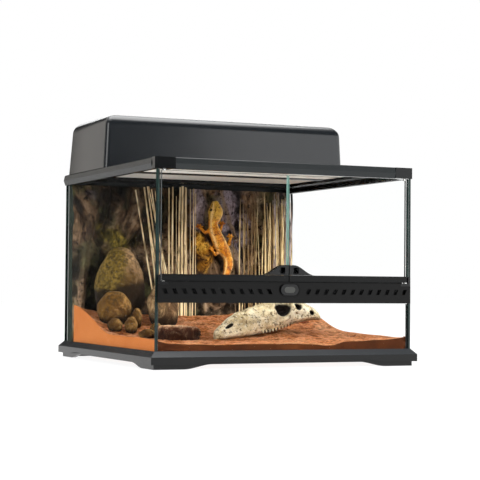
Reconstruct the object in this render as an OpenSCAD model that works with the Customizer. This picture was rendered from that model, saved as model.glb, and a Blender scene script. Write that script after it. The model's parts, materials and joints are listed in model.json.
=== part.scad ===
// Front-opening glass terrarium with a screen top, a lamp hood and desert furnishings.
// Millimetres. The origin is the centre of the footprint on the floor, +Z is up,
// and the doors face -Y.

/* [Glass box] */
// Outside width of the glass box
box_w = 450; // [420:5:500]
// Outside depth of the glass box
box_d = 450; // [430:5:500]
// Height of the top frame's upper face above the floor
tank_h = 325; // [315:5:360]
// Thickness of the side, rear and lower front panes
pane_t = 4; // [3:0.5:5]
// Thickness of the bottom pane
floor_t = 4; // [3:0.5:6]
// Thickness of the door panes
door_t = 4; // [3:0.5:5]
// How far the side and rear panes reach into the top frame
pane_in_top = 4; // [2:0.5:6]

/* [Base frame] */
// How far the base fascia stands out from the glass
base_out = 8.5; // [7.5:0.5:12]
// Height of the fascia's lower edge at the corners
fascia_z = 7.5; // [6:0.5:9]
// Height of the fascia's upper edge
fascia_top = 19; // [17.5:0.5:22]
// Height at which the sloping rim meets the glass
rim_z = 28; // [26:0.5:32]
// How far the skirt with the feet is set back from the fascia
skirt_set = 6.5; // [5:0.5:7]
// Thickness of the skirt
skirt_t = 6; // [4:0.5:8]
// Flat length of each foot
foot_l = 50; // [35:1:70]
// Length of the curve that rises from each foot
foot_curve = 47; // [30:1:60]
// Rise of the skirt between the feet
foot_rise = 7.4; // [4:0.2:7.4]
// Rise of the fascia's lower edge between the feet
fascia_rise = 4; // [2:0.5:6]
// Height of the seat under the side panes
wall_seat_z = 16; // [14:0.5:18]
// Height of the seat under the bottom pane
floor_seat_z = 20; // [19:0.5:22]
// Width of the ledge that carries the bottom pane
floor_ledge = 16; // [10:1:24]

/* [Ventilation strip] */
// Height of the strip's lower edge
strip_z = 102; // [92:1:112]
// Height of the strip
strip_h = 32.5; // [30:0.5:38]
// How far the strip stands in front of the glass
strip_out = 5; // [4.5:0.5:5.5]
// Depth of the strip from front to back
strip_d = 14; // [12:0.5:20]
// Thickness of the slotted front wall
strip_wall = 2.5; // [1.5:0.5:3]
// Height of the solid band below the slots
strip_band = 11; // [9:0.5:14]
// Depth of the groove over the lower front pane
strip_groove = 8; // [5:0.5:8.5]
// Width of a slot along the strip
slot_w = 6.4; // [4:0.2:9]
// Height of a slot
slot_h = 8.3; // [5:0.1:10]
// Sideways slant of a slot over its height
slot_slant = 4; // [0:0.5:6]
// Distance from slot to slot
slot_pitch = 16; // [12:0.5:22]
// Half width of the solid block in the middle of the strip
strip_block = 24; // [20:1:30]

/* [Doors] */
// Gap between the two door panes
door_gap = 2; // [1:0.5:4]
// Gap between the strip and the door rails
door_sill_gap = 1.5; // [1:0.25:3]
// Gap between the door panes and the top frame
door_head_gap = 2; // [1:0.5:3]
// Height of the door rails
rail_h = 10; // [8:0.5:14]
// Depth of the door rails from front to back
rail_d = 10; // [9:0.5:12]
// How far the door rails stand in front of the glass
rail_out = 4.5; // [3.5:0.5:4.5]
// Depth of the glass groove in the rail
rail_groove = 6; // [4:0.5:7]
// Half width of the handle on the two doors together
handle_half = 45; // [38:1:60]
// Rise of the handle above the rail
handle_rise = 16; // [12:1:24]
// Half width of the handle's flat top
handle_flat = 8; // [5:1:12]
// Depth of the handle from front to back
handle_d = 12; // [10:0.5:14]
// Width of a finger recess
recess_w = 10; // [8:0.5:12]
// Depth of a finger recess
recess_d = 5.5; // [5:0.5:7]
// Distance of the finger recess from the middle
recess_x = 7; // [5:0.5:9]
// Distance of the hinge axis from the side pane
pivot_in = 9; // [8.5:0.5:12]
// Radius of the hinge pins
pin_r = 2; // [1.5:0.1:2.4]
// Depth of a pin in its socket in the tank
pin_reach = 5.5; // [4:0.5:7]
// Radial clearance of the pins and shafts in their bores
run_fit = 0.05; // [0.02:0.01:0.09]
// Side and end clearance of glass in a plastic groove
glass_fit = 0.1; // [0.05:0.05:0.3]
// Width of the upper door shoe
shoe_w = 14; // [11:0.5:20]
// Height of the upper door shoe
shoe_h = 12; // [9:0.5:20]

/* [Lock] */
// Width of the oval lock knob
knob_w = 31; // [27:0.5:34]
// Height of the oval lock knob
knob_h = 17.4; // [14:0.2:20]
// Thickness of the lock knob
knob_t = 2.6; // [2:0.2:2.8]
// Radius of the lock shaft
lock_shaft_r = 3; // [2:0.25:4]
// Radius of the retaining washer behind the strip
lock_washer_r = 7; // [5:0.5:8]
// Thickness of the retaining washer
lock_washer_t = 2; // [1:0.5:3]
// Width of the pale plate in the knob
plate_w = 19; // [14:0.5:22]
// Height of the pale plate in the knob
plate_h = 9.5; // [7:0.5:11]

/* [Top frame] */
// Height of the top frame
top_h = 18; // [17:0.5:22]
// How far the top frame's upper edge stands out from the glass
top_out = 2.3; // [2:0.1:3]
// How far the ridge stands out beyond the upper edge
top_ridge = 1.4; // [0.5:0.1:2]
// Height of the ridge above the frame's lower edge
top_ridge_z = 8.6; // [6:0.2:12]
// Thickness of the frame's deck
deck_t = 10; // [9:0.5:10.5]
// Inner clearance between the side panes and the frame's inner wall
top_wall_in = 3.4; // [2:0.2:5]
// Width of the ledge under the screen cover
cover_ledge = 6.5; // [4:0.5:9]
// Length of the corner hinge blocks along the front
corner_l = 33; // [26:1:40]

/* [Screen cover] */
// Distance of the cover's edge from the inside of the side panes
cover_side_in = 24; // [20:1:34]
// Distance of the cover's front edge from the inside of the doors
cover_front_in = 9; // [7:0.5:14]
// Distance of the cover's rear edge from the inside of the rear pane
cover_rear_in = 63; // [58:1:72]
// Thickness of the cover's frame
cover_t = 6.5; // [5.5:0.5:7]
// Width of the cover's frame
cover_band = 12; // [11:0.5:18]
// Gap round the cover
cover_gap = 0.4; // [0.3:0.1:0.8]
// Thickness of the woven screen
screen_t = 0.8; // [0.5:0.1:1.5]
// Width of the cross bar
bar_w = 22; // [14:1:30]
// Depth of the cross bar
bar_h = 11; // [8:0.5:12]
// Width of a cover latch
latch_w = 24; // [16:1:32]
// Length of a cover latch
latch_l = 9; // [7:0.5:9.5]
// Thickness of a cover latch
latch_t = 3.5; // [2:0.25:3.5]
// Travel of a cover latch
latch_travel = 4.5; // [3:0.5:6]
// Distance of the latches from the cover's front edge
latch_in = 60; // [40:5:90]
// Thickness of the keeper plates over the latch pockets
keeper_t = 1.2; // [0.8:0.1:1.3]

/* [Cable inlets] */
// Width of a cable inlet
inlet_w = 44; // [30:1:50]
// Depth of a cable inlet
inlet_d = 14; // [10:0.5:16]
// Distance of the inlet's inner end from the middle
inlet_x = 70; // [55:1:85]
// Thickness of an inlet shutter
shutter_t = 2.2; // [1.5:0.1:3]
// Overlap of the shutter round the inlet
shutter_lap = 3; // [2:0.5:3.5]

/* [Lamp hood] */
// Width of the hood
hood_w = 452; // [436:2:454]
// Depth of the hood
hood_d = 200; // [185:5:210]
// Height of the hood
hood_h = 91.7; // [85:0.1:110]
// Distance of the hood's rear from the outside of the rear pane
hood_rear_in = 12; // [8:1:20]
// Wall thickness of the hood
hood_wall = 2.5; // [2:0.25:3.5]
// Radius round the hood's top
hood_round = 20; // [12:1:26]
// Radius of the hood's upright corners
hood_corner = 9; // [5:1:16]
// Lean of the hood's rear wall
hood_lean = 8; // [4:0.5:10]
// Draft of the hood's ends
hood_draft = 3.5; // [1:0.5:5]
// Gap between the hood and what it stands on
hood_gap = 0.3; // [0.2:0.1:0.5]
// Thickness of the reflector
reflector_t = 1; // [0.8:0.1:1.5]
// Height of the reflector's flanges above the hood's lower edge
flange_z = 14; // [10:1:20]
// Height of the reflector's roof above the hood's lower edge
roof_z = 72; // [69:1:74]
// Half length of the reflector
reflector_half = 152; // [148:2:158]
// Radius of a lamp holder
holder_r = 19; // [16:0.5:22]
// Radius of a lamp's globe
globe_r = 26; // [20:1:28]
// Length of a lamp from cap to tip
lamp_l = 98; // [88:1:104]
// Radius of a lamp's cap
lamp_cap_r = 13; // [11:0.5:13.5]
// Height of the lamp axis above the hood's lower edge
lamp_z = 40; // [38:1:43]
// Radius of the cord entry
cord_r = 4; // [3:0.25:5]
// Radius of the cable gland's nut
gland_r = 9; // [8:0.5:11]
// Width of the rocker switch
switch_w = 20; // [16:1:24]
// Radius of the rocker's turning surface
rocker_r = 8.6; // [7:0.2:9.5]
// Angle that the rocker turns through
rocker_turn = 16; // [10:1:20]

/* [Furnishings] */
// Clearance between the furnishings and what they lie against
lay = 0.6; // [0.5:0.1:1]
// Height of the sand's surface in the open middle
sand_z0 = 37; // [33:1:44]
// Rise of the sand towards the rear
sand_rise = 46; // [30:1:50]
// Height of the sand's lip along the side panes
sand_lip = 9; // [4:1:12]
// Height of the mound under the skull
mound_h = 15; // [8:1:20]
// Least thickness of the rock background
rock_t = 25; // [18:1:34]
// Distance of the rock background's top below the top frame's upper face
rock_head = 18; // [12:1:40]
// Thickness of a cane
cane_t = 5; // [3:0.5:6]
// Length of the skull
skull_l = 204; // [170:2:215]
// Height of the large boulder
boulder_h = 126; // [90:2:140]

/* [Hidden] */

$fn = 48;
BIG = 1000;            // longer than any size of the tank
CUT = 1;               // overshoot of a cut past the face that it opens

half_w = box_w / 2;
half_d = box_d / 2;
in_x = half_w - pane_t;              // inner face of the side panes
in_y = half_d - pane_t;              // inner face of the rear and front panes
top_z = tank_h - top_h;              // lower edge of the top frame
deck_z = tank_h - deck_t;            // lower face of the deck
floor_top = floor_seat_z + floor_t;  // upper face of the bottom pane
pane_top = top_z + pane_in_top;

strip_top = strip_z + strip_h;
strip_front = -half_d - strip_out;
strip_rear = strip_front + strip_d;
strip_side_gap = 0.3;                // gap between the strip's body and the side panes
slot_z = strip_z + strip_band + 2.8; // lower edge of the slots
web_t = 4.5;                         // thickness of the strip's upper web
window_end = 6;                      // solid length at each end of the strip

rail_z = strip_top + door_sill_gap;
rail_top = rail_z + rail_h;
rail_front = -half_d - rail_out;
rail_end_gap = 5.5;                  // gap between the rail's end and the side pane
rail_end = in_x - rail_end_gap;
door_edge = rail_end;
door_top = top_z - door_head_gap;
pivot_x = in_x - pivot_in;
pivot_y = rail_front + pin_r + 1.5;
recess_rise = 10;                    // height of a finger recess
handle_front = rail_front - 0.3;

lock_z = strip_z + 21;
knob_gap = 0.3;                      // gap between the knob and the strip's face
knob_back = strip_front - knob_gap;
knob_front = knob_back - knob_t;
plate_t = 0.4;                       // thickness of the pale plate

cover_x = in_x - cover_side_in;
cover_y0 = -in_y + cover_front_in;
cover_y1 = in_y - cover_rear_in;
cover_z0 = tank_h - cover_t;
latch_y = cover_y0 + latch_in;
latch_z = cover_z0 + 1.3;
latch_guide = 0.35;                  // clearance round a latch

hood_y1 = half_d - hood_rear_in;
hood_y0 = hood_y1 - hood_d;
hood_yc = (hood_y0 + hood_y1) / 2;
hood_z0 = tank_h + hood_gap;
hood_z1 = hood_z0 + hood_h;
bar_y = hood_y0 + 4;                 // middle of the cross bar, under the hood's front wall
screen_z = cover_z0 + 1.2;

inlet_y = hood_y1 - 18;
shutter_w = inlet_w + 2 * shutter_lap;
shutter_d = inlet_d + 2 * shutter_lap;
shutter_travel = inlet_w + 2;
shutter_gap = 0.3;

lamp_axis_z = hood_z0 + lamp_z;
holder_boss = 8;                     // thickness of the boss that carries a lamp holder
boss_face = hood_w / 2 - hood_wall - hood_draft - holder_boss;
holder_l = 46;                       // length of a lamp holder

pad_in = 106;                        // distance of the service pad from the hood's right end
pad_x0 = hood_w / 2 - pad_in;        // left end of the service pad on the hood's rear
pad_w = 84;                          // width of the service pad
pad_up = 10;                         // height of the service pad above the hood's lower edge
pad_z0 = hood_z0 + pad_up;
pad_h = 38;                          // height of the service pad
pad_t = 4;                           // thickness of the service pad
pad_y = hood_y1 - 1;                 // outer face of the service pad
gland_in = 18;                       // distance of the gland from the pad's left end
switch_in = 56;                      // distance of the switch from the pad's left end
gland_x = pad_x0 + gland_in;
switch_x = pad_x0 + switch_in;
service_z = pad_z0 + pad_h / 2;
rocker_y = pad_y - 6;                // axis of the rocker
rocker_fit = 0.4;
housing_wall = 2;

// ---- helpers -----------------------------------------------------------------------

// Smooth step from 0 to 1.
function ease(t) = let (c = min(1, max(0, t))) c * c * (3 - 2 * c);

// Bell curve in two directions.
function bell(u, v) = exp(-(u * u + v * v));

// A frame's outline seen from the front: half width plus offsets at given heights.
function band(half, pts) = concat([for (p = pts) [half + p[0], p[1]]],
    [for (i = [len(pts) - 1:-1:0]) [-half - pts[i][0], pts[i][1]]]);

// A solid whose four sides all have the same section, mitred at the corners.
module mitred(hx, hy, pts) {
    intersection() {
        rotate([90, 0, 0]) linear_extrude(height = BIG, center = true) polygon(band(hx, pts));
        rotate([90, 0, 90]) linear_extrude(height = BIG, center = true) polygon(band(hy, pts));
    }
}

// A box from its lowest to its highest corner.
module span(a, b) {
    translate(a) cube(b - a);
}

// Both sides of the tank.
module both() {
    children();
    mirror([1, 0, 0]) children();
}

// A closed relief: a grid of surface points joined to a flat back.
// pts is a list of rows, foot(p) puts a rim point on the back, and mid is the back's middle.
module relief(pts, foot, mid) {
    rows = len(pts);
    cols = len(pts[0]);
    rim = concat([for (i = [0:cols - 1]) i],
        [for (j = [1:rows - 1]) j * cols + cols - 1],
        [for (i = [cols - 2:-1:0]) (rows - 1) * cols + i],
        [for (j = [rows - 2:-1:1]) j * cols]);
    flat_pts = [for (r = pts) each r];
    n = len(flat_pts);
    m = len(rim);
    all_pts = concat(flat_pts, [for (k = rim) foot(flat_pts[k])], [mid]);
    top = [for (j = [0:rows - 2]) for (i = [0:cols - 2]) let (a = j * cols + i)
        each [[a, a + cols, a + 1], [a + 1, a + cols, a + cols + 1]]];
    side = [for (k = [0:m - 1]) let (l = (k + 1) % m)
        each [[rim[k], rim[l], n + k], [rim[l], n + l, n + k]]];
    back = [for (k = [0:m - 1]) [n + k, n + (k + 1) % m, n + m]];
    polyhedron(all_pts, concat(top, side, back));
}

// A closed body through a list of rings, each with the same number of points.
module loft(rings) {
    rows = len(rings);
    cols = len(rings[0]);
    pts = [for (r = rings) each r];
    n = len(pts);
    centre = function (r) [for (k = [0:2]) let (s = [for (p = r) p[k]]) total(s) / cols];
    faces = concat(
        [for (j = [0:rows - 2]) for (i = [0:cols - 1]) let (a = j * cols + i,
            b = j * cols + (i + 1) % cols) each [[a, b, a + cols], [b, b + cols, a + cols]]],
        [for (i = [0:cols - 1]) [(i + 1) % cols, i, n]],
        [for (i = [0:cols - 1]) [(rows - 1) * cols + i, (rows - 1) * cols + (i + 1) % cols, n + 1]]);
    polyhedron(concat(pts, [centre(rings[0]), centre(rings[rows - 1])]), faces);
}

function total(v, i = 0) = i >= len(v) ? 0 : v[i] + total(v, i + 1);

// ---- base frame and glass ----------------------------------------------------------

curve_steps = 10;
base_inner = in_x - floor_ledge;
base_inner_y = in_y - floor_ledge;
skirt_out = base_out - skirt_set;    // skirt's outer face beyond the glass
skirt_top = foot_rise + 2;

// The rising line between two feet: half is the half length, low and rise its heights.
function arch(half, low, rise) = concat(
    [for (i = [0:curve_steps]) let (t = i / curve_steps)
        [-half + foot_l + foot_curve * t, low + rise * ease(t)]],
    [for (i = [curve_steps:-1:0]) let (t = i / curve_steps)
        [half - foot_l - foot_curve * t, low + rise * ease(t)]]);

// One side of the skirt, along X, its outer face on y = 0.
module skirt_side(half) {
    rotate([90, 0, 0]) translate([0, 0, -skirt_t]) linear_extrude(height = skirt_t)
        polygon(concat([[-half, skirt_top], [-half, 0]], arch(half, 0, foot_rise),
            [[half, 0], [half, skirt_top]]));
}

// What is cut from one side of the fascia's lower edge, along X, its inner face on y = 0.
module fascia_cut(half) {
    rotate([90, 0, 0]) linear_extrude(height = skirt_set + CUT)
        polygon(concat([[-half + foot_l, 0]], arch(half, fascia_z, fascia_rise),
            [[half - foot_l, 0]]));
}

module base_frame() {
    sx = half_w + skirt_out;
    sy = half_d + skirt_out;
    color([0.07, 0.07, 0.08]) difference() {
        union() {
            difference() {
                mitred(half_w, half_d, [[base_out, fascia_z], [base_out, fascia_top],
                    [0, rim_z]]);
                for (a = [0, 180]) rotate(a) translate([0, -sy, 0]) fascia_cut(sx);
                for (a = [90, 270]) rotate(a) translate([0, -sx, 0]) fascia_cut(sy);
            }
            for (a = [0, 180]) rotate(a) translate([0, -sy, 0]) skirt_side(sx);
            for (a = [90, 270]) rotate(a) translate([0, -sx, 0]) skirt_side(sy);
        }
        span([-base_inner, -base_inner_y, -CUT], [base_inner, base_inner_y, rim_z + CUT]);
        span([-in_x, -in_y, floor_seat_z], [in_x, in_y, rim_z + CUT]);
        difference() {
            span([-half_w, -half_d, wall_seat_z], [half_w, half_d, rim_z + CUT]);
            span([-in_x, -in_y, 0], [in_x, in_y, rim_z + 2 * CUT]);
        }
    }
}

module glass() {
    color([0.75, 0.9, 0.86, 0.3]) children();
}

module bottom_glass() {
    glass() span([-in_x, -in_y, floor_seat_z], [in_x, in_y, floor_top]);
}

module right_glass() {
    glass() span([in_x, -half_d, wall_seat_z], [half_w, half_d, pane_top]);
}

module left_glass() {
    mirror([1, 0, 0]) right_glass();
}

module rear_glass() {
    glass() span([-in_x, in_y, wall_seat_z], [in_x, half_d, pane_top]);
}

module front_lower_glass() {
    glass() span([-in_x, -half_d, wall_seat_z],
        [in_x, -in_y, strip_z + strip_groove - glass_fit]);
}

bead = 3;                            // leg of a silicone bead in a corner

module corner_bead(h, leg) {
    linear_extrude(height = h) polygon([[0, 0], [-leg, 0], [0, leg]]);
}

module silicone_seams() {
    color([0.05, 0.06, 0.06]) both() {
        translate([in_x, -in_y, floor_top]) corner_bead(strip_z - floor_top - 1, bead);
    }
}

// ---- ventilation strip and lock ----------------------------------------------------

window_x0 = strip_block;
window_x1 = in_x - window_end;
slot_n = floor((window_x1 - window_x0 - slot_slant - slot_w) / slot_pitch);

// One slanted slot, its lower inner corner on the origin.
module slot() {
    rotate([90, 0, 0]) linear_extrude(height = strip_d, center = true)
        polygon([[0, 0], [slot_w, 0], [slot_w + slot_slant, slot_h], [slot_slant, slot_h]]);
}

// Oval bar along Y, from y = 0 towards -Y.
module oval(w, h, t) {
    straight = (w - h) / 2;
    rotate([90, 0, 0]) {
        for (s = [-1, 1]) translate([s * straight, 0, 0]) cylinder(h = t, r = h / 2);
        translate([-straight, -h / 2, 0]) cube([2 * straight, h, t]);
    }
}

block_l = 17;                        // length of a lower hinge block
block_drop = 4.5;                    // depth of the seat of a lower hinge block

module vent_strip() {
    body = in_x - strip_side_gap;
    color([0.06, 0.07, 0.08]) difference() {
        union() {
            span([-body, strip_front, strip_z], [body, strip_rear, strip_top]);
            span([-half_w + 3, strip_front, strip_z],
                [half_w - 3, -half_d - strip_side_gap, strip_top]);
        }
        span([-body - CUT, -half_d - glass_fit, strip_z - CUT],
            [body + CUT, -in_y + glass_fit, strip_z + strip_groove]);
        both() {
            span([window_x0, strip_front + strip_wall, strip_z + strip_band],
                [window_x1, strip_rear + CUT, strip_top - web_t]);
            for (i = [0:slot_n]) translate([window_x0 + 5 + i * slot_pitch, strip_front, slot_z])
                slot();
            span([in_x - block_l, strip_front - CUT, strip_top - block_drop],
                [half_w, strip_rear + CUT, strip_top + CUT]);
        }
        translate([0, strip_rear + CUT, lock_z]) rotate([90, 0, 0])
            cylinder(h = strip_d + 2 * CUT, r = lock_shaft_r + run_fit);
        translate([0, strip_front + 1, lock_z]) difference() {
            oval(knob_w + 5, knob_h + 5, 1 + CUT);
            translate([0, CUT, 0]) oval(knob_w + 1, knob_h + 1, 2 + 2 * CUT);
        }
    }
}

screen_inset = 1.2;                  // depth of the vent screens behind the strip's rear edge

module vent_screens() {
    color([0.25, 0.26, 0.27]) both()
        span([window_x0 + 0.2, strip_rear - screen_inset - screen_t,
            strip_z + strip_band + 0.2],
            [window_x1 - 0.2, strip_rear - screen_inset, strip_top - web_t - 0.2]);
}

block_up = 10.5;                     // height of the cheek beside the door rail
cheek_t = 4.2;

module lower_hinge_blocks() {
    color([0.04, 0.045, 0.05]) both() difference() {
        union() {
            span([in_x - block_l + 0.1, strip_front + 0.2, strip_top - block_drop],
                [in_x - strip_side_gap, strip_rear, strip_top]);
            span([half_w - 3 - cheek_t, strip_front + 0.2, strip_top - block_drop],
                [half_w - 3, -half_d - strip_side_gap, strip_top + block_up]);
        }
        translate([pivot_x, pivot_y, strip_top - block_drop - CUT])
            cylinder(h = block_drop + 2 * CUT, r = pin_r + run_fit);
    }
}

module lock_knob() {
    color([0.05, 0.055, 0.06]) difference() {
        translate([0, knob_back, lock_z]) oval(knob_w, knob_h, knob_t);
        translate([0, knob_front + plate_t, lock_z]) oval(plate_w, plate_h, plate_t + CUT);
        translate([0, knob_back + CUT, lock_z]) rotate([90, 0, 0])
            cylinder(h = CUT + 1.4, r = lock_shaft_r);
    }
}

module lock_plate() {
    color([0.78, 0.78, 0.76]) translate([0, knob_front + plate_t, lock_z])
        oval(plate_w - 0.2, plate_h - 0.2, plate_t);
}

module lock_shaft() {
    color([0.5, 0.5, 0.5]) translate([0, strip_rear + lock_washer_t + 0.1, lock_z])
        rotate([90, 0, 0])
        cylinder(h = strip_rear + lock_washer_t + 0.1 - knob_back + 1.4, r = lock_shaft_r);
}

module lock_washer() {
    color([0.06, 0.06, 0.06]) translate([0, strip_rear + 0.1 + lock_washer_t, lock_z])
        rotate([90, 0, 0]) difference() {
            cylinder(h = lock_washer_t, r = lock_washer_r);
            translate([0, 0, -CUT]) cylinder(h = lock_washer_t + 2 * CUT, r = lock_shaft_r);
        }
}

// ---- doors -------------------------------------------------------------------------

module right_door_glass() {
    glass() difference() {
        span([door_gap / 2, -half_d, rail_top - rail_groove + glass_fit],
            [door_edge, -half_d + door_t, door_top]);
        span([pivot_x - pin_r - 0.5, -half_d - CUT, door_top + 1 - pin_hold - 0.3],
            [door_edge + CUT, -half_d + door_t + CUT, door_top + CUT]);
    }
}

module left_door_glass() {
    mirror([1, 0, 0]) right_door_glass();
}

module right_door_rail() {
    color([0.09, 0.095, 0.1]) difference() {
        span([door_gap / 2 - 0.2, rail_front, rail_z],
            [rail_end, rail_front + rail_d, rail_top]);
        span([0, -half_d - glass_fit, rail_top - rail_groove],
            [rail_end + CUT, -half_d + door_t + glass_fit, rail_top + CUT]);
        translate([pivot_x, pivot_y, rail_z - CUT])
            cylinder(h = CUT + pin_hold, r = pin_r + run_fit);
    }
}

pin_hold = 3;                        // depth of a pin in the door's own part

module left_door_rail() {
    mirror([1, 0, 0]) right_door_rail();
}

// Upper outline of the right half of the handle, from its outer end to the middle.
function handle_line() = [for (i = [0:curve_steps]) let (t = i / curve_steps)
    [handle_half + (handle_flat - handle_half) * t, rail_top + 0.2 + handle_rise * ease(t)]];

module right_door_handle() {
    inner = door_gap / 2 - 0.2;
    color([0.05, 0.055, 0.06]) difference() {
        translate([0, handle_front, 0]) rotate([90, 0, 0]) translate([0, 0, -handle_d])
            linear_extrude(height = handle_d)
            polygon(concat([[inner, rail_top + 0.2]],
                handle_line(), [[inner, rail_top + 0.2 + handle_rise]]));
        span([0, -half_d - glass_fit, rail_top],
            [handle_half + CUT, -half_d + door_t + glass_fit, rail_top + handle_rise + CUT]);
        span([recess_x, handle_front - CUT, rail_top + 2.5],
            [recess_x + recess_w, handle_front + recess_d, rail_top + 2.5 + recess_rise]);
    }
}

module left_door_handle() {
    mirror([1, 0, 0]) right_door_handle();
}

module right_door_shoe() {
    color([0.05, 0.055, 0.06]) difference() {
        span([rail_end - shoe_w, rail_front + 0.3, door_top - shoe_h + 1],
            [rail_end, rail_front + rail_d, door_top + 1]);
        span([rail_end - shoe_w - CUT, -half_d - glass_fit, 0],
            [rail_end + CUT, -half_d + door_t + glass_fit, door_top + glass_fit]);
        translate([pivot_x, pivot_y, door_top + 1 - pin_hold])
            cylinder(h = pin_hold + CUT, r = pin_r + run_fit);
    }
}

module left_door_shoe() {
    mirror([1, 0, 0]) right_door_shoe();
}

module right_door_pins() {
    color([0.7, 0.7, 0.7]) translate([pivot_x, pivot_y, 0]) {
        translate([0, 0, strip_top - block_drop + 0.2])
            cylinder(h = rail_z + pin_hold - 0.2 - (strip_top - block_drop + 0.2), r = pin_r);
        translate([0, 0, door_top + 1 - pin_hold + 0.2])
            cylinder(h = top_z + pin_reach - 0.2 - (door_top + 1 - pin_hold + 0.2), r = pin_r);
    }
}

module left_door_pins() {
    mirror([1, 0, 0]) right_door_pins();
}

// ---- top frame ---------------------------------------------------------------------

corner_x = half_w + top_out - corner_l;
corner_rear = -half_d + 12.5;        // rear face of the corner hinge blocks

function latch_pocket() = latch_travel + 0.6;

keeper_fit = 0.1;                    // clearance round a keeper plate in its recess
keeper_w = latch_w + 10;
keeper_x1 = cover_x + cover_gap + latch_pocket() + 5;

module top_frame() {
    ring_in = in_x - top_wall_in;
    ring_in_y = in_y - top_wall_in;
    open_x = cover_x - cover_ledge;
    color([0.06, 0.065, 0.07]) difference() {
        mitred(half_w, half_d, [[top_out - 0.8, top_z], [top_out + top_ridge, top_z + top_ridge_z],
            [top_out, tank_h - 1.2], [top_out - 1.2, tank_h]]);
        span([-ring_in, -ring_in_y, top_z - CUT], [ring_in, ring_in_y, deck_z]);
        both() span([in_x - glass_fit, -half_d - glass_fit, top_z - CUT],
            [half_w + glass_fit, half_d + glass_fit, pane_top + glass_fit]);
        span([-half_w, in_y - glass_fit, top_z - CUT],
            [half_w, half_d + glass_fit, pane_top + glass_fit]);
        span([-open_x, cover_y0 + cover_ledge, deck_z - CUT],
            [open_x, cover_y1 - cover_ledge, tank_h + CUT]);
        span([-cover_x - cover_gap, cover_y0 - cover_gap, cover_z0 - cover_gap],
            [cover_x + cover_gap, cover_y1 + cover_gap, tank_h + CUT]);
        both() {
            span([corner_x - 0.1, -half_d - 2 * strip_out, top_z - CUT],
                [half_w + 2 * strip_out, corner_rear + 0.1, tank_h + CUT]);
            span([cover_x, latch_y - latch_w / 2 - latch_guide, latch_z - latch_guide],
                [cover_x + cover_gap + latch_pocket(), latch_y + latch_w / 2 + latch_guide,
                    tank_h + CUT]);
            span([cover_x, latch_y - keeper_w / 2 - keeper_fit, tank_h - keeper_t],
                [keeper_x1 + keeper_fit, latch_y + keeper_w / 2 + keeper_fit, tank_h + CUT]);
            span([inlet_x, inlet_y - inlet_d / 2, deck_z - CUT],
                [inlet_x + inlet_w, inlet_y + inlet_d / 2, tank_h + CUT]);
            span([inlet_x - shutter_lap - shutter_gap, inlet_y - shutter_d / 2 - shutter_gap,
                tank_h - shutter_t - 2 * shutter_gap],
                [inlet_x - shutter_lap + shutter_w + shutter_travel + shutter_gap,
                    inlet_y + shutter_d / 2 + shutter_gap, tank_h + CUT]);
        }
    }
}

module latch_keepers() {
    color([0.6, 0.6, 0.6]) both()
        span([cover_x + cover_gap, latch_y - keeper_w / 2, tank_h - keeper_t],
            [keeper_x1, latch_y + keeper_w / 2, tank_h]);
}

module upper_hinge_blocks() {
    color([0.03, 0.035, 0.04]) both() difference() {
        translate([0, 0, top_z + 0.3]) linear_extrude(height = top_h - 0.3)
            polygon([[corner_x, -half_d - top_out - top_ridge], [corner_x, corner_rear],
                [half_w + top_out, corner_rear], [half_w + top_out, -half_d - top_out + 2],
                [half_w + top_out - 3, -half_d - top_out - top_ridge]]);
        span([in_x - glass_fit, -half_d - glass_fit, top_z - CUT],
            [half_w + glass_fit, 0, pane_top + glass_fit]);
        span([-BIG, -in_y + cover_front_in - cover_gap, cover_z0 - cover_gap],
            [cover_x + cover_gap, 0, tank_h + CUT]);
        translate([pivot_x, pivot_y, top_z - CUT])
            cylinder(h = CUT + pin_reach, r = pin_r + run_fit);
    }
}

// ---- screen cover ------------------------------------------------------------------

window_x = cover_x - cover_band;

module cover_frame() {
    y0 = cover_y0 + cover_band;
    y1 = cover_y1 - cover_band;
    color([0.08, 0.085, 0.09]) difference() {
        span([-cover_x, cover_y0, cover_z0], [cover_x, cover_y1, tank_h]);
        span([-window_x, y0, cover_z0 - CUT], [window_x, y1, tank_h + CUT]);
        both() {
            span([cover_x - latch_l - latch_guide, latch_y - latch_w / 2 - latch_guide,
                latch_z - latch_guide],
                [cover_x + CUT, latch_y + latch_w / 2 + latch_guide, tank_h + CUT]);
        }
    }
}

module cover_screen() {
    y0 = cover_y0 + cover_band;
    y1 = cover_y1 - cover_band;
    color([0.55, 0.53, 0.5]) {
        span([-window_x, y0, screen_z], [window_x, bar_y - bar_w / 2, screen_z + screen_t]);
        span([-window_x, bar_y + bar_w / 2, screen_z], [window_x, y1, screen_z + screen_t]);
    }
}

module cover_cross_bar() {
    color([0.08, 0.085, 0.09])
        span([-window_x, bar_y - bar_w / 2, tank_h - bar_h], [window_x, bar_y + bar_w / 2, tank_h]);
}

rib_pitch = (latch_l - latch_travel) / 3; // distance between the ribs on a latch

module right_cover_latch() {
    color([0.03, 0.03, 0.03]) {
        span([cover_x - latch_l, latch_y - latch_w / 2, latch_z],
            [cover_x - 0.2, latch_y + latch_w / 2, latch_z + latch_t]);
        for (i = [0:2]) span([cover_x - latch_l + rib_pitch * (i + 0.2), latch_y - latch_w / 2 + 3,
            latch_z + latch_t - 0.5],
            [cover_x - latch_l + rib_pitch * (i + 0.8), latch_y + latch_w / 2 - 3, tank_h - 0.3]);
    }
}

module left_cover_latch() {
    mirror([1, 0, 0]) right_cover_latch();
}

module right_inlet_shutter() {
    x0 = inlet_x - shutter_lap;
    z0 = tank_h - shutter_t - shutter_gap;
    color([0.05, 0.05, 0.055]) {
        span([x0, inlet_y - shutter_d / 2, z0], [x0 + shutter_w, inlet_y + shutter_d / 2, z0 + shutter_t]);
        for (i = [0:2]) translate([x0 + shutter_w / 2 + 3 * (i - 1), inlet_y, z0 + shutter_t])
            cube([1.2, shutter_d - 8, 3], center = true);
    }
}

module left_inlet_shutter() {
    mirror([1, 0, 0]) right_inlet_shutter();
}

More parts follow.
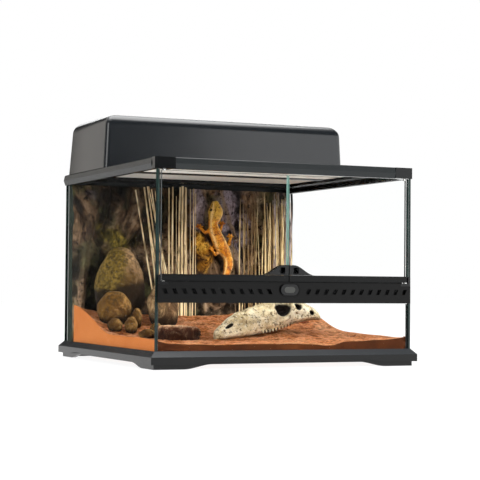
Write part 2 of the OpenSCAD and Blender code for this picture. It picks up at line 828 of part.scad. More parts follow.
// ---- lamp hood ---------------------------------------------------------------------

arc_steps = 8;

// Rounded upper edge of a hood section: lower corner lo, upper corner leaning in by lean.
function edge_arc(x, z, r, lean) = [for (i = [0:arc_steps]) let (a = 90 * i / arc_steps)
    [x - lean - r + r * cos(a), z - r + r * sin(a)]];

function flip(pts) = [for (i = [len(pts) - 1:-1:0]) [-pts[i][0], pts[i][1]]];

// The hood's solid form, drawn in by off on every side and at the top.
module hood_form(off, z0) {
    r = hood_round - off;
    zt = hood_z1 - off;
    hx = hood_w / 2 - off;
    yf = hood_d / 2 - off;
    c = hood_corner - off;
    ends = edge_arc(hx, zt, r, hood_draft);
    back = edge_arc(yf, zt, r, hood_lean);
    front = edge_arc(yf, zt, r, 1.5);
    translate([0, hood_yc, 0]) intersection() {
        rotate([90, 0, 0]) linear_extrude(height = BIG, center = true)
            polygon(concat([[hx, z0]], ends, flip(ends), [[-hx, z0]]));
        rotate([90, 0, 90]) linear_extrude(height = BIG, center = true)
            polygon(concat([[yf, z0]], back, flip(front), [[-yf, z0]]));
        translate([0, 0, z0]) linear_extrude(height = BIG) union() {
            square([2 * hx - 2 * c, 2 * yf], center = true);
            square([2 * hx, 2 * yf - 2 * c], center = true);
            for (sx = [-1, 1]) for (sy = [-1, 1]) translate([sx * (hx - c), sy * (yf - c)])
                circle(r = c);
        }
    }
}

rail_step = 2.5;                     // thickness of the rails that carry the reflector

module hood_shell() {
    inner_y0 = hood_y0 + hood_wall;
    inner_y1 = hood_y1 - hood_wall;
    rail_x = reflector_half + 6;
    color([0.08, 0.08, 0.085]) difference() {
        union() {
            difference() {
                hood_form(0, hood_z0);
                hood_form(hood_wall, hood_z0 - CUT);
            }
            intersection() {
                hood_form(hood_wall / 2, hood_z0);
                union() {
                    span([-rail_x, inner_y0 - CUT, hood_z0 + flange_z - rail_step],
                        [rail_x, inner_y0 + 10, hood_z0 + flange_z]);
                    span([-rail_x, inner_y1 - 12, hood_z0 + flange_z - rail_step],
                        [rail_x, inner_y1 + CUT, hood_z0 + flange_z]);
                    both() span([boss_face, hood_yc - holder_r - 3, hood_z0 + 12],
                        [hood_w / 2, hood_yc + holder_r + 3, lamp_axis_z + holder_r + 3]);
                }
            }
            span([pad_x0, pad_y - pad_t - 3, pad_z0], [pad_x0 + pad_w, pad_y, pad_z0 + pad_h]);
        }
        translate([gland_x, pad_y + CUT, service_z]) rotate([90, 0, 0])
            cylinder(h = 30, r = gland_r - 2.5);
        span([switch_x - switch_w / 2 - housing_wall - 0.1, pad_y - 30,
            service_z - rocker_r - housing_wall - 0.5],
            [switch_x + switch_w / 2 + housing_wall + 0.1, pad_y + CUT,
                service_z + rocker_r + housing_wall + 0.5]);
        both() span([inlet_x, hood_y1 - 3 * hood_wall, hood_z0 - CUT],
            [inlet_x + inlet_w, hood_y1 + CUT, hood_z0 + 8]);
        for (i = [-9:9]) span([i * 20 - 6, hood_y1 - 6 * hood_wall, hood_z1 - hood_round - 8],
            [i * 20 + 6, hood_y1 + CUT, hood_z1 - hood_round - 4.5]);
    }
}

// Section of the reflector in Y and Z: flanges, two flanks and a roof.
module reflector_line(d) {
    y0 = hood_y0 + hood_wall + 0.4;
    y1 = hood_y1 - hood_wall - 5.8;
    z0 = hood_z0 + flange_z + 0.2;
    z1 = hood_z0 + roof_z;
    polygon([[y0, z0], [y0 + 14, z0], [y0 + 46, z1 - d], [y1 - 46, z1 - d], [y1 - 14, z0],
        [y1, z0], [y1, z0 + d], [y1 - 14 + d, z0 + d], [y1 - 46 + d, z1], [y0 + 46 - d, z1],
        [y0 + 14 - d, z0 + d], [y0, z0 + d]]);
}

module hood_reflector() {
    color([0.85, 0.85, 0.86]) rotate([90, 0, 90])
        linear_extrude(height = 2 * reflector_half, center = true) reflector_line(reflector_t);
}

module right_lamp_holder() {
    color([0.9, 0.89, 0.85]) translate([boss_face - 0.1, hood_yc, lamp_axis_z])
        rotate([0, -90, 0]) difference() {
            union() {
                cylinder(h = 6, r = holder_r);
                cylinder(h = holder_l, r = holder_r - 2);
            }
            translate([0, 0, 14]) cylinder(h = holder_l, r = lamp_cap_r + 0.4);
        }
}

module left_lamp_holder() {
    mirror([1, 0, 0]) right_lamp_holder();
}

cap_l = 32;                          // length of a lamp's cap

module right_lamp() {
    neck_l = lamp_l - cap_l - 2 * globe_r;
    color([0.96, 0.95, 0.9]) translate([boss_face - 0.1 - 14.2, hood_yc, lamp_axis_z])
        rotate([0, -90, 0]) {
            cylinder(h = cap_l + CUT, r = lamp_cap_r);
            translate([0, 0, cap_l]) cylinder(h = neck_l + globe_r * 0.6, r1 = lamp_cap_r,
                r2 = globe_r * 0.8);
            translate([0, 0, cap_l + neck_l + globe_r]) sphere(r = globe_r);
        }
}

module left_lamp() {
    mirror([1, 0, 0]) right_lamp();
}

module cable_gland() {
    color([0.05, 0.05, 0.05]) translate([gland_x, pad_y, service_z]) rotate([-90, 0, 0])
        difference() {
            union() {
                cylinder(h = 6, r = gland_r, $fn = 6);
                translate([0, 0, -9.5]) cylinder(h = 10, r = gland_r - 2.6);
                translate([0, 0, 5.5]) cylinder(h = 4, r = gland_r - 2);
                translate([0, 0, -10.5]) cylinder(h = 3, r = gland_r);
            }
            translate([0, 0, -12]) cylinder(h = 24, r = cord_r);
        }
}

module switch_housing() {
    color([0.04, 0.04, 0.04]) difference() {
        union() {
            span([switch_x - switch_w / 2 - housing_wall, rocker_y - rocker_r - housing_wall - 1,
                service_z - rocker_r - housing_wall],
                [switch_x + switch_w / 2 + housing_wall, pad_y + 0.2,
                    service_z + rocker_r + housing_wall]);
            span([switch_x - switch_w / 2 - housing_wall - 1.5, pad_y + 0.1,
                service_z - rocker_r - housing_wall - 1.5],
                [switch_x + switch_w / 2 + housing_wall + 1.5, pad_y + 1.4,
                    service_z + rocker_r + housing_wall + 1.5]);
        }
        translate([switch_x - switch_w / 2, rocker_y, service_z]) rotate([0, 90, 0])
            cylinder(h = switch_w, r = rocker_r + rocker_fit);
        span([switch_x - switch_w / 2, rocker_y, service_z - rocker_r - rocker_fit],
            [switch_x + switch_w / 2, pad_y + 5, service_z + rocker_r + rocker_fit]);
    }
}

rocker_ridge = 5.8;                  // distance of the rocker's ridge from its axis
rocker_face = 12;                    // slope of the rocker's two faces from the ridge

module switch_rocker() {
    len_x = switch_w - 2 * rocker_fit;
    color([0.1, 0.1, 0.1]) translate([switch_x, rocker_y, service_z]) rotate([-rocker_turn / 2, 0, 0])
        difference() {
            rotate([0, 90, 0]) cylinder(h = len_x, r = rocker_r, center = true);
            for (s = [-1, 1]) translate([0, rocker_ridge, 0]) rotate([s * rocker_face, 0, 0])
                translate([-len_x / 2 - CUT, 0, -2 * rocker_r])
                cube([len_x + 2 * CUT, 2 * rocker_r, 4 * rocker_r]);
        }
}

// ---- sand and rock -----------------------------------------------------------------

rock_foot_z = 92;                    // the background is upright below this height
rock_top = tank_h - rock_head;
rock_back = in_y - 0.4;
rock_x = in_x - 0.6;

// Lumps of the rock: distance from the left pane, height, two radii, rise.
LUMPS = [[12, 140, 12, 70, 26], [26, 235, 22, 40, 20], [45, 185, 20, 34, 16],
    [70, 275, 50, 34, 10], [175, 280, 60, 30, 8], [250, 192, 22, 34, 22],
    [318, 176, 14, 34, 12], [390, 255, 46, 60, 10], [330, 275, 34, 30, 12]];

// Depth of the rock's face in front of its thinnest skin.
function rock_bulge(x, z) =
    total([for (l = LUMPS) l[4] * bell((x + in_x - l[0]) / l[2], (z - l[1]) / l[3])])
    + 1.6 * sin(x * 3.1 + z * 1.3) + 1.2 * sin(z * 4.3 - x * 1.7);

// Y of the rock's face.
function rock_y(x, z) = in_y - rock_t - 2.8 - rock_bulge(x, max(z, rock_foot_z));

// Height of the sand's surface.
function sand_z(x, y) = sand_z0
    + sand_lip * exp(-(x + in_x) / 18) + sand_lip * exp(-(in_x - x) / 45)
    + sand_rise * ease((y - in_y + 251) / 215) * (0.78 + 0.22 * pow(x / in_x, 2))
    + mound_h * bell((x - 88) / 92, (y + 36) / 72)
    + 0.6 * sin(x * 2.3 + y * 1.1) + 0.5 * sin(y * 3.1 - x * 0.9);

rock_cols = 44;
rock_rows = 26;
sand_cols = rock_cols;               // the same columns, so that the two faces match
sand_rows = 28;
sand_x = rock_x;
sand_front = -in_y + 0.4;

function sand_back(x) = rock_y(x, 0) - lay;

module sand_bed() {
    base = floor_top + 0.2;
    grid = [for (j = [0:sand_rows]) [for (i = [0:sand_cols])
        let (x = -sand_x + 2 * sand_x * i / sand_cols,
            corner = j == 0 && (i == 0 || i == sand_cols) ? bead + 0.6 : 0,
            y = sand_front + (sand_back(x) - sand_front) * j / sand_rows)
        [x - sign(x) * corner, y + corner, sand_z(x, y)]]];
    color([0.8, 0.42, 0.2]) relief(grid, function (p) [p[0], p[1], base], [0, 0, base]);
}

module rock_background() {
    z0 = floor_top + 0.2;
    grid = [for (j = [0:rock_rows]) [for (i = [0:rock_cols])
        let (x = rock_x - 2 * rock_x * i / rock_cols,
            z = z0 + (rock_top - z0) * j / rock_rows)
        [x, rock_y(x, z), z]]];
    color([0.33, 0.27, 0.24]) relief(grid, function (p) [p[0], rock_back, p[2]],
        [0, rock_back, (z0 + rock_top) / 2]);
}

// A stone of half sizes r about c, drawn in at the top by taper, laid on the sand and
// held clear of the rock background.
module stone(c, r, taper = 0, rows = 12, cols = 20, rough = 0.04) {
    rings = [for (j = [1:rows - 1]) let (b = -90 + 180 * j / rows)
        [for (i = [0:cols - 1]) let (a = 360 * i / cols,
            k = 1 + rough * sin(3 * a + 40 * j) + rough * sin(2 * a - 65 * j),
            s = cos(b) * (1 - taper * (sin(b) + 1) / 2),
            x = c[0] + r[0] * k * s * cos(a),
            z = c[2] + r[2] * sin(b),
            y = min(c[1] + r[1] * k * s * sin(a), rock_y(x, z) - lay))
        [x, y, max(z, sand_z(x, y) + lay)]]];
    loft(rings);
}

// Position on the sand: dx from the left pane, y from the rear pane.
function from_left(dx) = -in_x + dx;
function from_rear(dy) = in_y - dy;

module large_boulder() {
    color([0.42, 0.36, 0.24]) stone([from_left(71), from_rear(78), 196 - boulder_h / 2],
        [52, 36, boulder_h / 2], 0.28, 16, 24, 0.02);
}

module low_boulder() {
    color([0.4, 0.35, 0.22]) stone([from_left(38), from_rear(138), 88], [31, 20, 30], 0.2);
}

module round_boulder() {
    color([0.42, 0.34, 0.3]) stone([from_left(128), from_rear(146), 95], [31, 25, 44], 0.15);
}

// Pebbles: distance from the left pane, distance from the rear pane, height, half sizes.
PEBBLES = [[30, 172, 60, 14, 11, 12], [57, 178, 60, 12, 12, 15], [77, 150, 71, 10, 10, 18],
    [72, 216, 46, 16, 11, 9], [98, 189, 54, 11, 10, 11]];

module pebbles() {
    color([0.45, 0.36, 0.25]) for (p = PEBBLES)
        stone([from_left(p[0]), from_rear(p[1]), p[2]], [p[3], p[4], p[5]], 0.1, 8, 12);
}

// A slab laid on the sand, its top crowned along its length.
module flat_stone() {
    cx = from_left(118);
    cy = from_rear(243);
    half_l = 39;
    half_t = 30;
    top = 62;
    rings = [for (j = [0:6]) let (t = j / 6, s = [0.9, 1, 1.0, 0.97, 0.95, 0.93, 0.8][j])
        [for (i = [0:19]) let (a = 18 * i,
            k = s * (1 + 0.05 * sin(3 * a + 20 * j) + 0.04 * sin(5 * a)),
            x = cx + half_l * k * cos(a), y = cy + half_t * k * sin(a),
            low = sand_z(x, y) + lay)
        [x, y, low + (top - 3 * pow(cos(a) * k, 2) - low) * t]]];
    color([0.5, 0.36, 0.27]) loft(rings);
}

// ---- canes -------------------------------------------------------------------------

// Y at which a cane of thickness t clears the rock all along a line from x0 to x1.
function cane_seat(x0, x1, t) = min([for (k = [0:cane_checks]) let (s = k / cane_checks)
    rock_y(x0 + (x1 - x0) * s, rock_foot_z + (rock_top - rock_foot_z) * s)]) - t / 2 - lay;

// The sand's highest point under a round foot of radius r.
function foot_z(x, y, r) = max([for (a = [0:45:315]) sand_z(x + r * cos(a), y + r * sin(a))]);

// One cane: x at the foot and at the tip, its row, and the height of the tip.
module cane(x0, x1, row, z1, t = cane_t) {
    y = cane_seat(x0, x1, t) - cane_row * row;
    low = foot_z(x0, y, t / 2);
    lean = atan2(x1 - x0, z1 - low);
    foot = low + cane_gap + abs(sin(lean)) * t / 2;
    translate([x0, y, foot]) rotate([0, lean, 0])
        cylinder(h = norm([x1 - x0, z1 - foot]), r = t / 2, $fn = 8);
}

// Leaning canes: foot x, tip x, place in depth, tip height.
LEANERS = [[-69, -112, 0, 300], [-66, -98, 1, 305], [-58, -101, 2, 303], [-50, -89, 0, 307],
    [-42, -84, 1, 302], [-37, -92, 2, 306]];
UPRIGHTS = [[-38, -41, 0, 307], [-31, -35, 0, 309], [-21, -22, 0, 309], [-15, -17, 1, 308],
    [-12, -12, 0, 310], [-6, -7, 1, 309], [0, -1, 0, 306], [4, 8, 1, 307], [-27, -29, 1, 300]];
cane_row = 7;                        // distance from one row of canes to the next
cane_gap = 0.3;                      // gap between a cane's foot and the sand
cane_checks = 12;                    // places along a cane where the rock is measured

module leaning_canes() {
    color([0.72, 0.6, 0.42]) for (c = LEANERS)
        cane(c[0], c[1], c[2] + 2, c[3], cane_t * 0.7);
}

module upright_canes() {
    color([0.75, 0.63, 0.45]) for (c = UPRIGHTS)
        cane(c[0], c[1], c[2], c[3]);
}

reed_n = 13;                         // reeds in a row of the clump
reed_x0 = 118;                       // distance of the clump's outer end from the right pane
reed_step = 7.6;

module reed_clump() {
    color([0.62, 0.5, 0.36]) for (row = [0:1]) for (i = [0:reed_n - 1]) {
        x = in_x - reed_x0 + reed_step * (i + 0.5 * row);
        cane(x, x + 2 * sin(97 * i + 50 * row), row,
            min(288 + 18 * sin(77 * i + 130 * row), rock_top - 4));
    }
}

// ---- skull and gecko ---------------------------------------------------------------

// Skull sections from the snout back: share of the length, half width, crown height.
SKULL = [[0, 7, 57], [0.05, 12, 65], [0.12, 17, 76], [0.2, 21, 84], [0.3, 25, 91],
    [0.42, 30, 98], [0.54, 35, 104], [0.66, 39, 107], [0.76, 40, 106], [0.85, 36, 101],
    [0.92, 28, 94], [0.97, 20, 86], [1, 12, 80]];
skull_x = -56;                       // tip of the snout
skull_y = -66;
skull_turn = 24;                     // sideways drift of the skull's rear end
skull_cols = 24;

// Depth of the eye socket and of the opening behind it, at a share of the length.
function socket(t, b) = 0.34 * bell((t - 0.66) / 0.065, (b - 35) / 22)
    + 0.24 * bell((t - 0.82) / 0.04, (b - 33) / 18) + 0.2 * bell((t - 0.13) / 0.035, (b - 25) / 22);

module skull_hide() {
    rings = [for (s = SKULL) [for (i = [0:skull_cols - 1])
        let (a = 360 * i / skull_cols,
            x0 = skull_x + skull_l * s[0],
            yc = skull_y + skull_turn * s[0],
            ground = sand_z(x0, yc) + lay,
            mid = ground + (s[2] - ground) * 0.3,
            side = a > 90 && a < 270 ? 1 : 0,
            k = 1 - side * socket(s[0], 180 - a),
            x = x0,
            y = yc + s[1] * cos(a) * k,
            z = mid + (a < 180 ? (s[2] - mid) * pow(sin(a), 0.8) * k : (mid - ground) * sin(a)))
        [x, y, max(z, sand_z(x, y) + lay)]]];
    color([0.83, 0.78, 0.66]) loft(rings);
}

// Gecko's spine from the snout to the tail: distance from the middle, height, radius.
SPINE = [[46, 285, 5], [47, 276, 10], [48, 266, 14], [46, 254, 12], [43, 243, 9],
    [44, 230, 11], [49, 217, 12], [56, 204, 12.5], [65, 194, 11.5], [72, 184, 9],
    [75, 172, 9], [73, 158, 8], [69, 146, 5.5], [66, 138, 2.5]];
// Limbs: shoulder or hip, knee, foot, each as x and z.
LIMBS = [[[38, 232], [28, 226], [20, 236]], [[50, 232], [60, 230], [66, 243]],
    [[60, 196], [46, 186], [38, 195]], [[66, 200], [78, 206], [83, 219]]];
gecko_y = 12;                        // distance of the spine from the rock's face

function on_rock(p, off) = [p[0], rock_y(p[0], p[1]) - off, p[1]];

module joint(p, off, r) {
    translate(on_rock(p, off)) sphere(r = r, $fn = 10);
}

module gecko_figure() {
    toes = 4;
    color([0.86, 0.5, 0.12]) {
        for (i = [0:len(SPINE) - 2]) hull() {
            joint(SPINE[i], gecko_y + 3, SPINE[i][2]);
            joint(SPINE[i + 1], gecko_y + 3, SPINE[i + 1][2]);
        }
        for (l = LIMBS) {
            hull() {
                joint(l[0], gecko_y, 4.5);
                joint(l[1], gecko_y - 4, 3.4);
            }
            hull() {
                joint(l[1], gecko_y - 4, 3.4);
                joint(l[2], 4.4, 2.6);
            }
            for (k = [0:toes - 1]) hull() {
                joint(l[2], 4.4, 2);
                joint(l[2] + 7.5 * [cos(k * 50 + 15), sin(k * 50 + 15)], 3, 1.5);
            }
        }
    }
}

base_frame();
bottom_glass();
left_glass();
right_glass();
rear_glass();
front_lower_glass();
silicone_seams();
vent_strip();
vent_screens();
lower_hinge_blocks();
top_frame();
latch_keepers();
upper_hinge_blocks();
left_door_glass();
left_door_rail();
left_door_handle();
left_door_shoe();
left_door_pins();
right_door_glass();
right_door_rail();
right_door_handle();
right_door_shoe();
right_door_pins();
lock_knob();
lock_plate();
lock_shaft();
lock_washer();
cover_frame();
cover_screen();
cover_cross_bar();
left_cover_latch();
right_cover_latch();
left_inlet_shutter();
right_inlet_shutter();
hood_shell();
hood_reflector();
left_lamp_holder();
right_lamp_holder();
left_lamp();
right_lamp();
cable_gland();
switch_housing();
switch_rocker();
sand_bed();
rock_background();
large_boulder();
low_boulder();
round_boulder();
pebbles();
flat_stone();
leaning_canes();
upright_canes();
reed_clump();
skull_hide();
gecko_figure();
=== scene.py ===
"""Looks of a front-opening glass terrarium with a screen top, a lamp hood and desert furnishings.

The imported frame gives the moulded, glass and metal parts. This script gives them procedural
finishes and makes the panes, the woven screens, the hood's skin, the sand, rock, stones, canes,
skull and gecko as fuller meshes in the same places. Lengths are in millimetres unless a name
says otherwise.
"""
from __future__ import annotations

import json
import logging
import math
import random
from collections.abc import Sequence
from dataclasses import dataclass
from enum import Enum

import bmesh
import bpy
from mathutils import Matrix, Vector, noise

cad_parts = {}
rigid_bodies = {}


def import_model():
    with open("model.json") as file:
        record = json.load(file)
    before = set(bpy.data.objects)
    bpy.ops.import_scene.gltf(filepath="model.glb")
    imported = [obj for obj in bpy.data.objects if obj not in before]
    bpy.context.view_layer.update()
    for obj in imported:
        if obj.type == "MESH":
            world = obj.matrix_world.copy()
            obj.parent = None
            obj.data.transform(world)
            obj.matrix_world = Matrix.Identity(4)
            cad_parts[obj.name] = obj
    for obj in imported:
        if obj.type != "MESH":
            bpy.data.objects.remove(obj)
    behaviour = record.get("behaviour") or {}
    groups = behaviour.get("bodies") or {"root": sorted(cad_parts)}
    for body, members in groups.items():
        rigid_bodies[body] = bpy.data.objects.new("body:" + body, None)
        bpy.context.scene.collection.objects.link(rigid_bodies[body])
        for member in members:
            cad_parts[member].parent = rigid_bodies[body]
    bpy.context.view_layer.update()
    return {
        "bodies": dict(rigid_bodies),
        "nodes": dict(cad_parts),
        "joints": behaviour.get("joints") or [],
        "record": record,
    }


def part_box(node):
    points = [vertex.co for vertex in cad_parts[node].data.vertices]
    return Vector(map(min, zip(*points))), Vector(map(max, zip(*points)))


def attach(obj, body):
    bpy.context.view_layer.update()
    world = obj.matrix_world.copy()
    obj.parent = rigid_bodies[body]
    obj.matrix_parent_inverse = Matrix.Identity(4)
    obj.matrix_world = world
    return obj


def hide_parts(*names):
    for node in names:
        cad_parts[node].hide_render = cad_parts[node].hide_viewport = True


LOG = logging.getLogger("terrarium")
MM = 0.001
Point = tuple[float, float, float]
Colour = tuple[float, float, float, float]
Signal = bpy.types.NodeSocket
WHITE: Colour = (1.0, 1.0, 1.0, 1.0)


def sind(angle: float) -> float:
    """Sine of an angle in degrees."""
    return math.sin(math.radians(angle))


def cosd(angle: float) -> float:
    """Cosine of an angle in degrees."""
    return math.cos(math.radians(angle))


def ease(t: float) -> float:
    """Smooth step from 0 to 1."""
    c = min(1.0, max(0.0, t))
    return c * c * (3 - 2 * c)


def bell(u: float, v: float) -> float:
    """Bell curve in two directions."""
    return math.exp(-(u * u + v * v))


def lerp(a: float, b: float, t: float) -> float:
    """Value a share t of the way from a to b."""
    return a + (b - a) * t


def grain(x: float, y: float, z: float, size: float, octaves: int = 4) -> float:
    """Layered noise.

    Args:
        x: Place in X.
        y: Place in Y.
        z: Place in Z.
        size: Size of the coarsest lumps.
        octaves: Number of finer layers.

    Returns:
        A value of about -1 to 1.
    """
    return noise.fractal(Vector((x, y, z)) / size, 0.9, 2.1, octaves)


def tone(code: str, gain: float = 1.0) -> Colour:
    """Linear colour of a screen colour.

    Args:
        code: Six hexadecimal digits.
        gain: Factor on the linear values.

    Returns:
        Red, green, blue and 1.
    """
    shares = [int(code[i:i + 2], 16) / 255 for i in (0, 2, 4)]
    linear = [s / 12.92 if s <= 0.04045 else ((s + 0.055) / 1.055) ** 2.4 for s in shares]
    return (linear[0] * gain, linear[1] * gain, linear[2] * gain, 1.0)


class Side(Enum):
    """The two sides of the tank."""

    LEFT = -1
    RIGHT = 1

    @property
    def word(self) -> str:
        """The side's name in node names."""
        return self.name.lower()


# ---- node graphs --------------------------------------------------------------------------


class Nodes:
    """A node tree that is put together node by node."""

    def __init__(self, tree: bpy.types.NodeTree) -> None:
        """Start with an empty tree.

        Args:
            tree: The tree to fill.
        """
        self.tree = tree
        self.tree.nodes.clear()

    def add(self, kind: str, **settings: object) -> bpy.types.Node:
        """Add a node and set its properties."""
        node = self.tree.nodes.new(kind)
        for name, value in settings.items():
            setattr(node, name, value)
        return node

    def link(self, source: Signal, target: Signal) -> None:
        """Join two sockets."""
        self.tree.links.new(source, target)

    def put(self, target: Signal, value: object) -> None:
        """Link a socket to a target, or set a colour's code or a plain value on it."""
        if isinstance(value, Signal):
            self.link(value, target)
        else:
            target.default_value = tone(value) if isinstance(value, str) else value

    def sum(self, how: str, a: object, b: object) -> Signal:
        """Result of a sum on two values."""
        node = self.add("ShaderNodeMath", operation=how)
        self.put(node.inputs[0], a)
        self.put(node.inputs[1], b)
        return node.outputs[0]

    def mix(self, share: Signal, first: Signal, second: Signal) -> Signal:
        """Mix of two shaders, all of the second where the share is 1."""
        node = self.add("ShaderNodeMixShader")
        for target, source in zip(node.inputs, (share, first, second)):
            self.link(source, target)
        return node.outputs[0]

    def seen(self) -> Signal:
        """1 on rays from the camera, off gloss and through glass, and 0 on other rays."""
        path = self.add("ShaderNodeLightPath")
        share = path.outputs["Is Camera Ray"]
        for name in ("Is Glossy Ray", "Is Transmission Ray"):
            share = self.sum("MAXIMUM", share, path.outputs[name])
        return share


class Graph(Nodes):
    """A material's node graph while it is being put together."""

    def __init__(self, name: str) -> None:
        """Start a material with one shader on its output.

        Args:
            name: Name of the material.
        """
        self.material = bpy.data.materials.new(name)
        self.material.use_nodes = True
        super().__init__(self.material.node_tree)
        self.out = self.add("ShaderNodeOutputMaterial")
        self.skin = self.add("ShaderNodeBsdfPrincipled")
        self.link(self.skin.outputs[0], self.out.inputs[0])
        coords = self.add("ShaderNodeTexCoord")
        self.place = coords.outputs["Object"]
        self.normal = coords.outputs["Normal"]

    def shader(self, **values: object) -> None:
        """Set the main shader's sockets, named with _ for a space."""
        for name, value in values.items():
            self.put(self.skin.inputs[name.replace("_", " ").title().replace("Ior", "IOR")], value)

    def turned(self, stretch: Point = (1, 1, 1), turn: Point = (0, 0, 0)) -> Signal:
        """The piece's coordinates, stretched and turned.

        Args:
            stretch: Factor on each axis.
            turn: Turn about each axis in degrees.

        Returns:
            A vector socket.
        """
        node = self.add("ShaderNodeMapping")
        node.inputs["Scale"].default_value = stretch
        node.inputs["Rotation"].default_value = [math.radians(a) for a in turn]
        self.link(self.place, node.inputs["Vector"])
        return node.outputs[0]

    def noise(self, size: float, detail: float = 3, rough: float = 0.55, warp: float = 0,
              vector: Signal | None = None) -> Signal:
        """Noise whose coarsest lumps have a size in millimetres."""
        node = self.add("ShaderNodeTexNoise")
        for name, number in (("Scale", 1000 / size), ("Detail", detail), ("Roughness", rough),
                             ("Distortion", warp)):
            node.inputs[name].default_value = number
        self.link(vector or self.place, node.inputs["Vector"])
        return node.outputs[0]

    def cells(self, size: float) -> Signal:
        """Distance within cells of a size in millimetres."""
        node = self.add("ShaderNodeTexVoronoi")
        node.inputs["Scale"].default_value = 1000 / size
        self.link(self.place, node.inputs["Vector"])
        return node.outputs["Distance"]

    def ramp(self, fac: Signal, *stops: tuple[float, Colour | str]) -> Signal:
        """Colour along a ramp with stops of place and colour."""
        node = self.add("ShaderNodeValToRGB")
        bar = node.color_ramp.elements
        while len(bar) < len(stops):
            bar.new(0.5)
        for element, (place, colour) in zip(bar, stops):
            element.position = place
            element.color = tone(colour) if isinstance(colour, str) else colour
        self.link(fac, node.inputs[0])
        return node.outputs[0]

    def blend(self, fac: object, a: object, b: object) -> Signal:
        """Mix of two colours by a factor."""
        node = self.add("ShaderNodeMix", data_type="RGBA")
        for place, value in ((0, fac), (6, a), (7, b)):
            self.put(node.inputs[place], value)
        return node.outputs[2]

    def span(self, value: Signal, low: float, high: float, start: float = 0.0,
             end: float = 1.0) -> Signal:
        """Smooth change from start to end while a value goes from low to high."""
        node = self.add("ShaderNodeMapRange", interpolation_type="SMOOTHSTEP")
        for name, number in (("From Min", low), ("From Max", high), ("To Min", start),
                             ("To Max", end)):
            node.inputs[name].default_value = number
        self.link(value, node.inputs["Value"])
        return node.outputs[0]

    def along(self, axis: Point, vector: Signal) -> Signal:
        """Share of a vector along an axis."""
        node = self.add("ShaderNodeVectorMath", operation="DOT_PRODUCT")
        self.link(vector, node.inputs[0])
        node.inputs[1].default_value = axis
        return node.outputs["Value"]

    def mark(self, name: str) -> Signal:
        """A value stored on the piece's points."""
        return self.add("ShaderNodeAttribute", attribute_name=name).outputs["Fac"]

    def bump(self, height: Signal, depth: float, strength: float = 1.0) -> None:
        """Give the main shader a bump of a depth in millimetres."""
        node = self.add("ShaderNodeBump")
        node.inputs["Strength"].default_value = strength
        node.inputs["Distance"].default_value = depth * MM
        self.link(height, node.inputs["Height"])
        if self.skin.inputs["Normal"].links:
            self.link(self.skin.inputs["Normal"].links[0].from_socket, node.inputs["Normal"])
        self.link(node.outputs[0], self.skin.inputs["Normal"])

    def let_lamps_through(self, tint: Colour) -> None:
        """Let lamps reach what is behind this material."""
        path = self.add("ShaderNodeLightPath")
        clear = self.add("ShaderNodeBsdfTransparent")
        clear.inputs[0].default_value = tint
        self.link(self.mix(path.outputs["Is Shadow Ray"], self.skin.outputs[0], clear.outputs[0]),
                  self.out.inputs[0])


# ---- finishes -----------------------------------------------------------------------------


@dataclass(frozen=True)
class Finish:
    """A named finish, made once."""

    name: str

    def paint(self, g: Graph) -> None:
        """Put the finish's nodes together on a fresh graph."""
        raise NotImplementedError

    def material(self) -> bpy.types.Material:
        """The finish's material, made at its first use."""
        made = bpy.data.materials.get(self.name)
        if made is None:
            graph = Graph(self.name)
            self.paint(graph)
            made = graph.material
        return made


@dataclass(frozen=True)
class Moulded(Finish):
    """Moulded plastic with a fine grain and a little unevenness."""

    colour: str = "0e0f10"
    roughness: float = 0.34
    grain_size: float = 0.9
    grain_depth: float = 0.008
    uneven: float = 0.025
    gloss: float = 0.3
    # Paler colour painted as a highlight on slopes that face up and out, or empty for none.
    painted_slope_highlight: str = ""

    def paint(self, g: Graph) -> None:
        """Put the plastic's colour, a painted highlight on its upward slopes, gloss and grain
        together.
        """
        broad = g.noise(60, 4, 0.6)
        dark, light = tone(self.colour, 0.94), tone(self.colour, 1.06)
        colour = g.ramp(broad, (0.3, dark), (0.7, light))
        # Slopes facing up and out get the paler colour: a painted highlight.
        if self.painted_slope_highlight:
            up = g.along((0, 0, 1), g.normal)
            share = g.sum("MULTIPLY", g.span(up, 0.25, 0.7), g.span(up, 0.85, 0.97, 1.0, 0.0))
            colour = g.blend(share, colour, self.painted_slope_highlight)
        g.shader(
            base_color=colour,
            roughness=g.span(g.noise(22, 4, 0.65), 0.3, 0.7, self.roughness - self.uneven,
                             self.roughness + self.uneven),
            ior=1.5, specular_ior_level=self.gloss,
        )
        g.bump(g.noise(self.grain_size, 2, 0.6), self.grain_depth)
        g.bump(g.noise(90, 0, 0.4), 0.1, 0.5)


@dataclass(frozen=True)
class Satin(Moulded):
    """Satin moulded plastic with a fainter grain."""

    roughness: float = 0.24
    grain_depth: float = 0.003
    uneven: float = 0.012


@dataclass(frozen=True)
class Pane(Finish):
    """Clear float glass that lamps shine through."""

    tint: Colour = (0.996, 1.0, 0.998, 1.0)
    ior: float = 1.012      # low, so that a pane seen at a slant stays as clear as in the photo

    def paint(self, g: Graph) -> None:
        """Put the clear glass together."""
        g.shader(base_color=self.tint, roughness=0.0, ior=self.ior, transmission_weight=1.0)
        g.let_lamps_through((0.98, 0.99, 0.985, 1.0))


@dataclass(frozen=True)
class PaneEdge(Finish):
    """The green ground edge of a pane."""

    deep: str = "0c2320"
    pale: str = "2f5a52"

    def paint(self, g: Graph) -> None:
        """Put the edge's streaks together."""
        streak = g.noise(5, 3, 0.6, vector=g.turned((1, 1, 0.12)))
        g.shader(base_color=g.ramp(streak, (0.3, self.deep), (0.75, self.pale)),
                 roughness=0.22, ior=1.5)
        g.bump(g.noise(1.2, 2), 0.05)


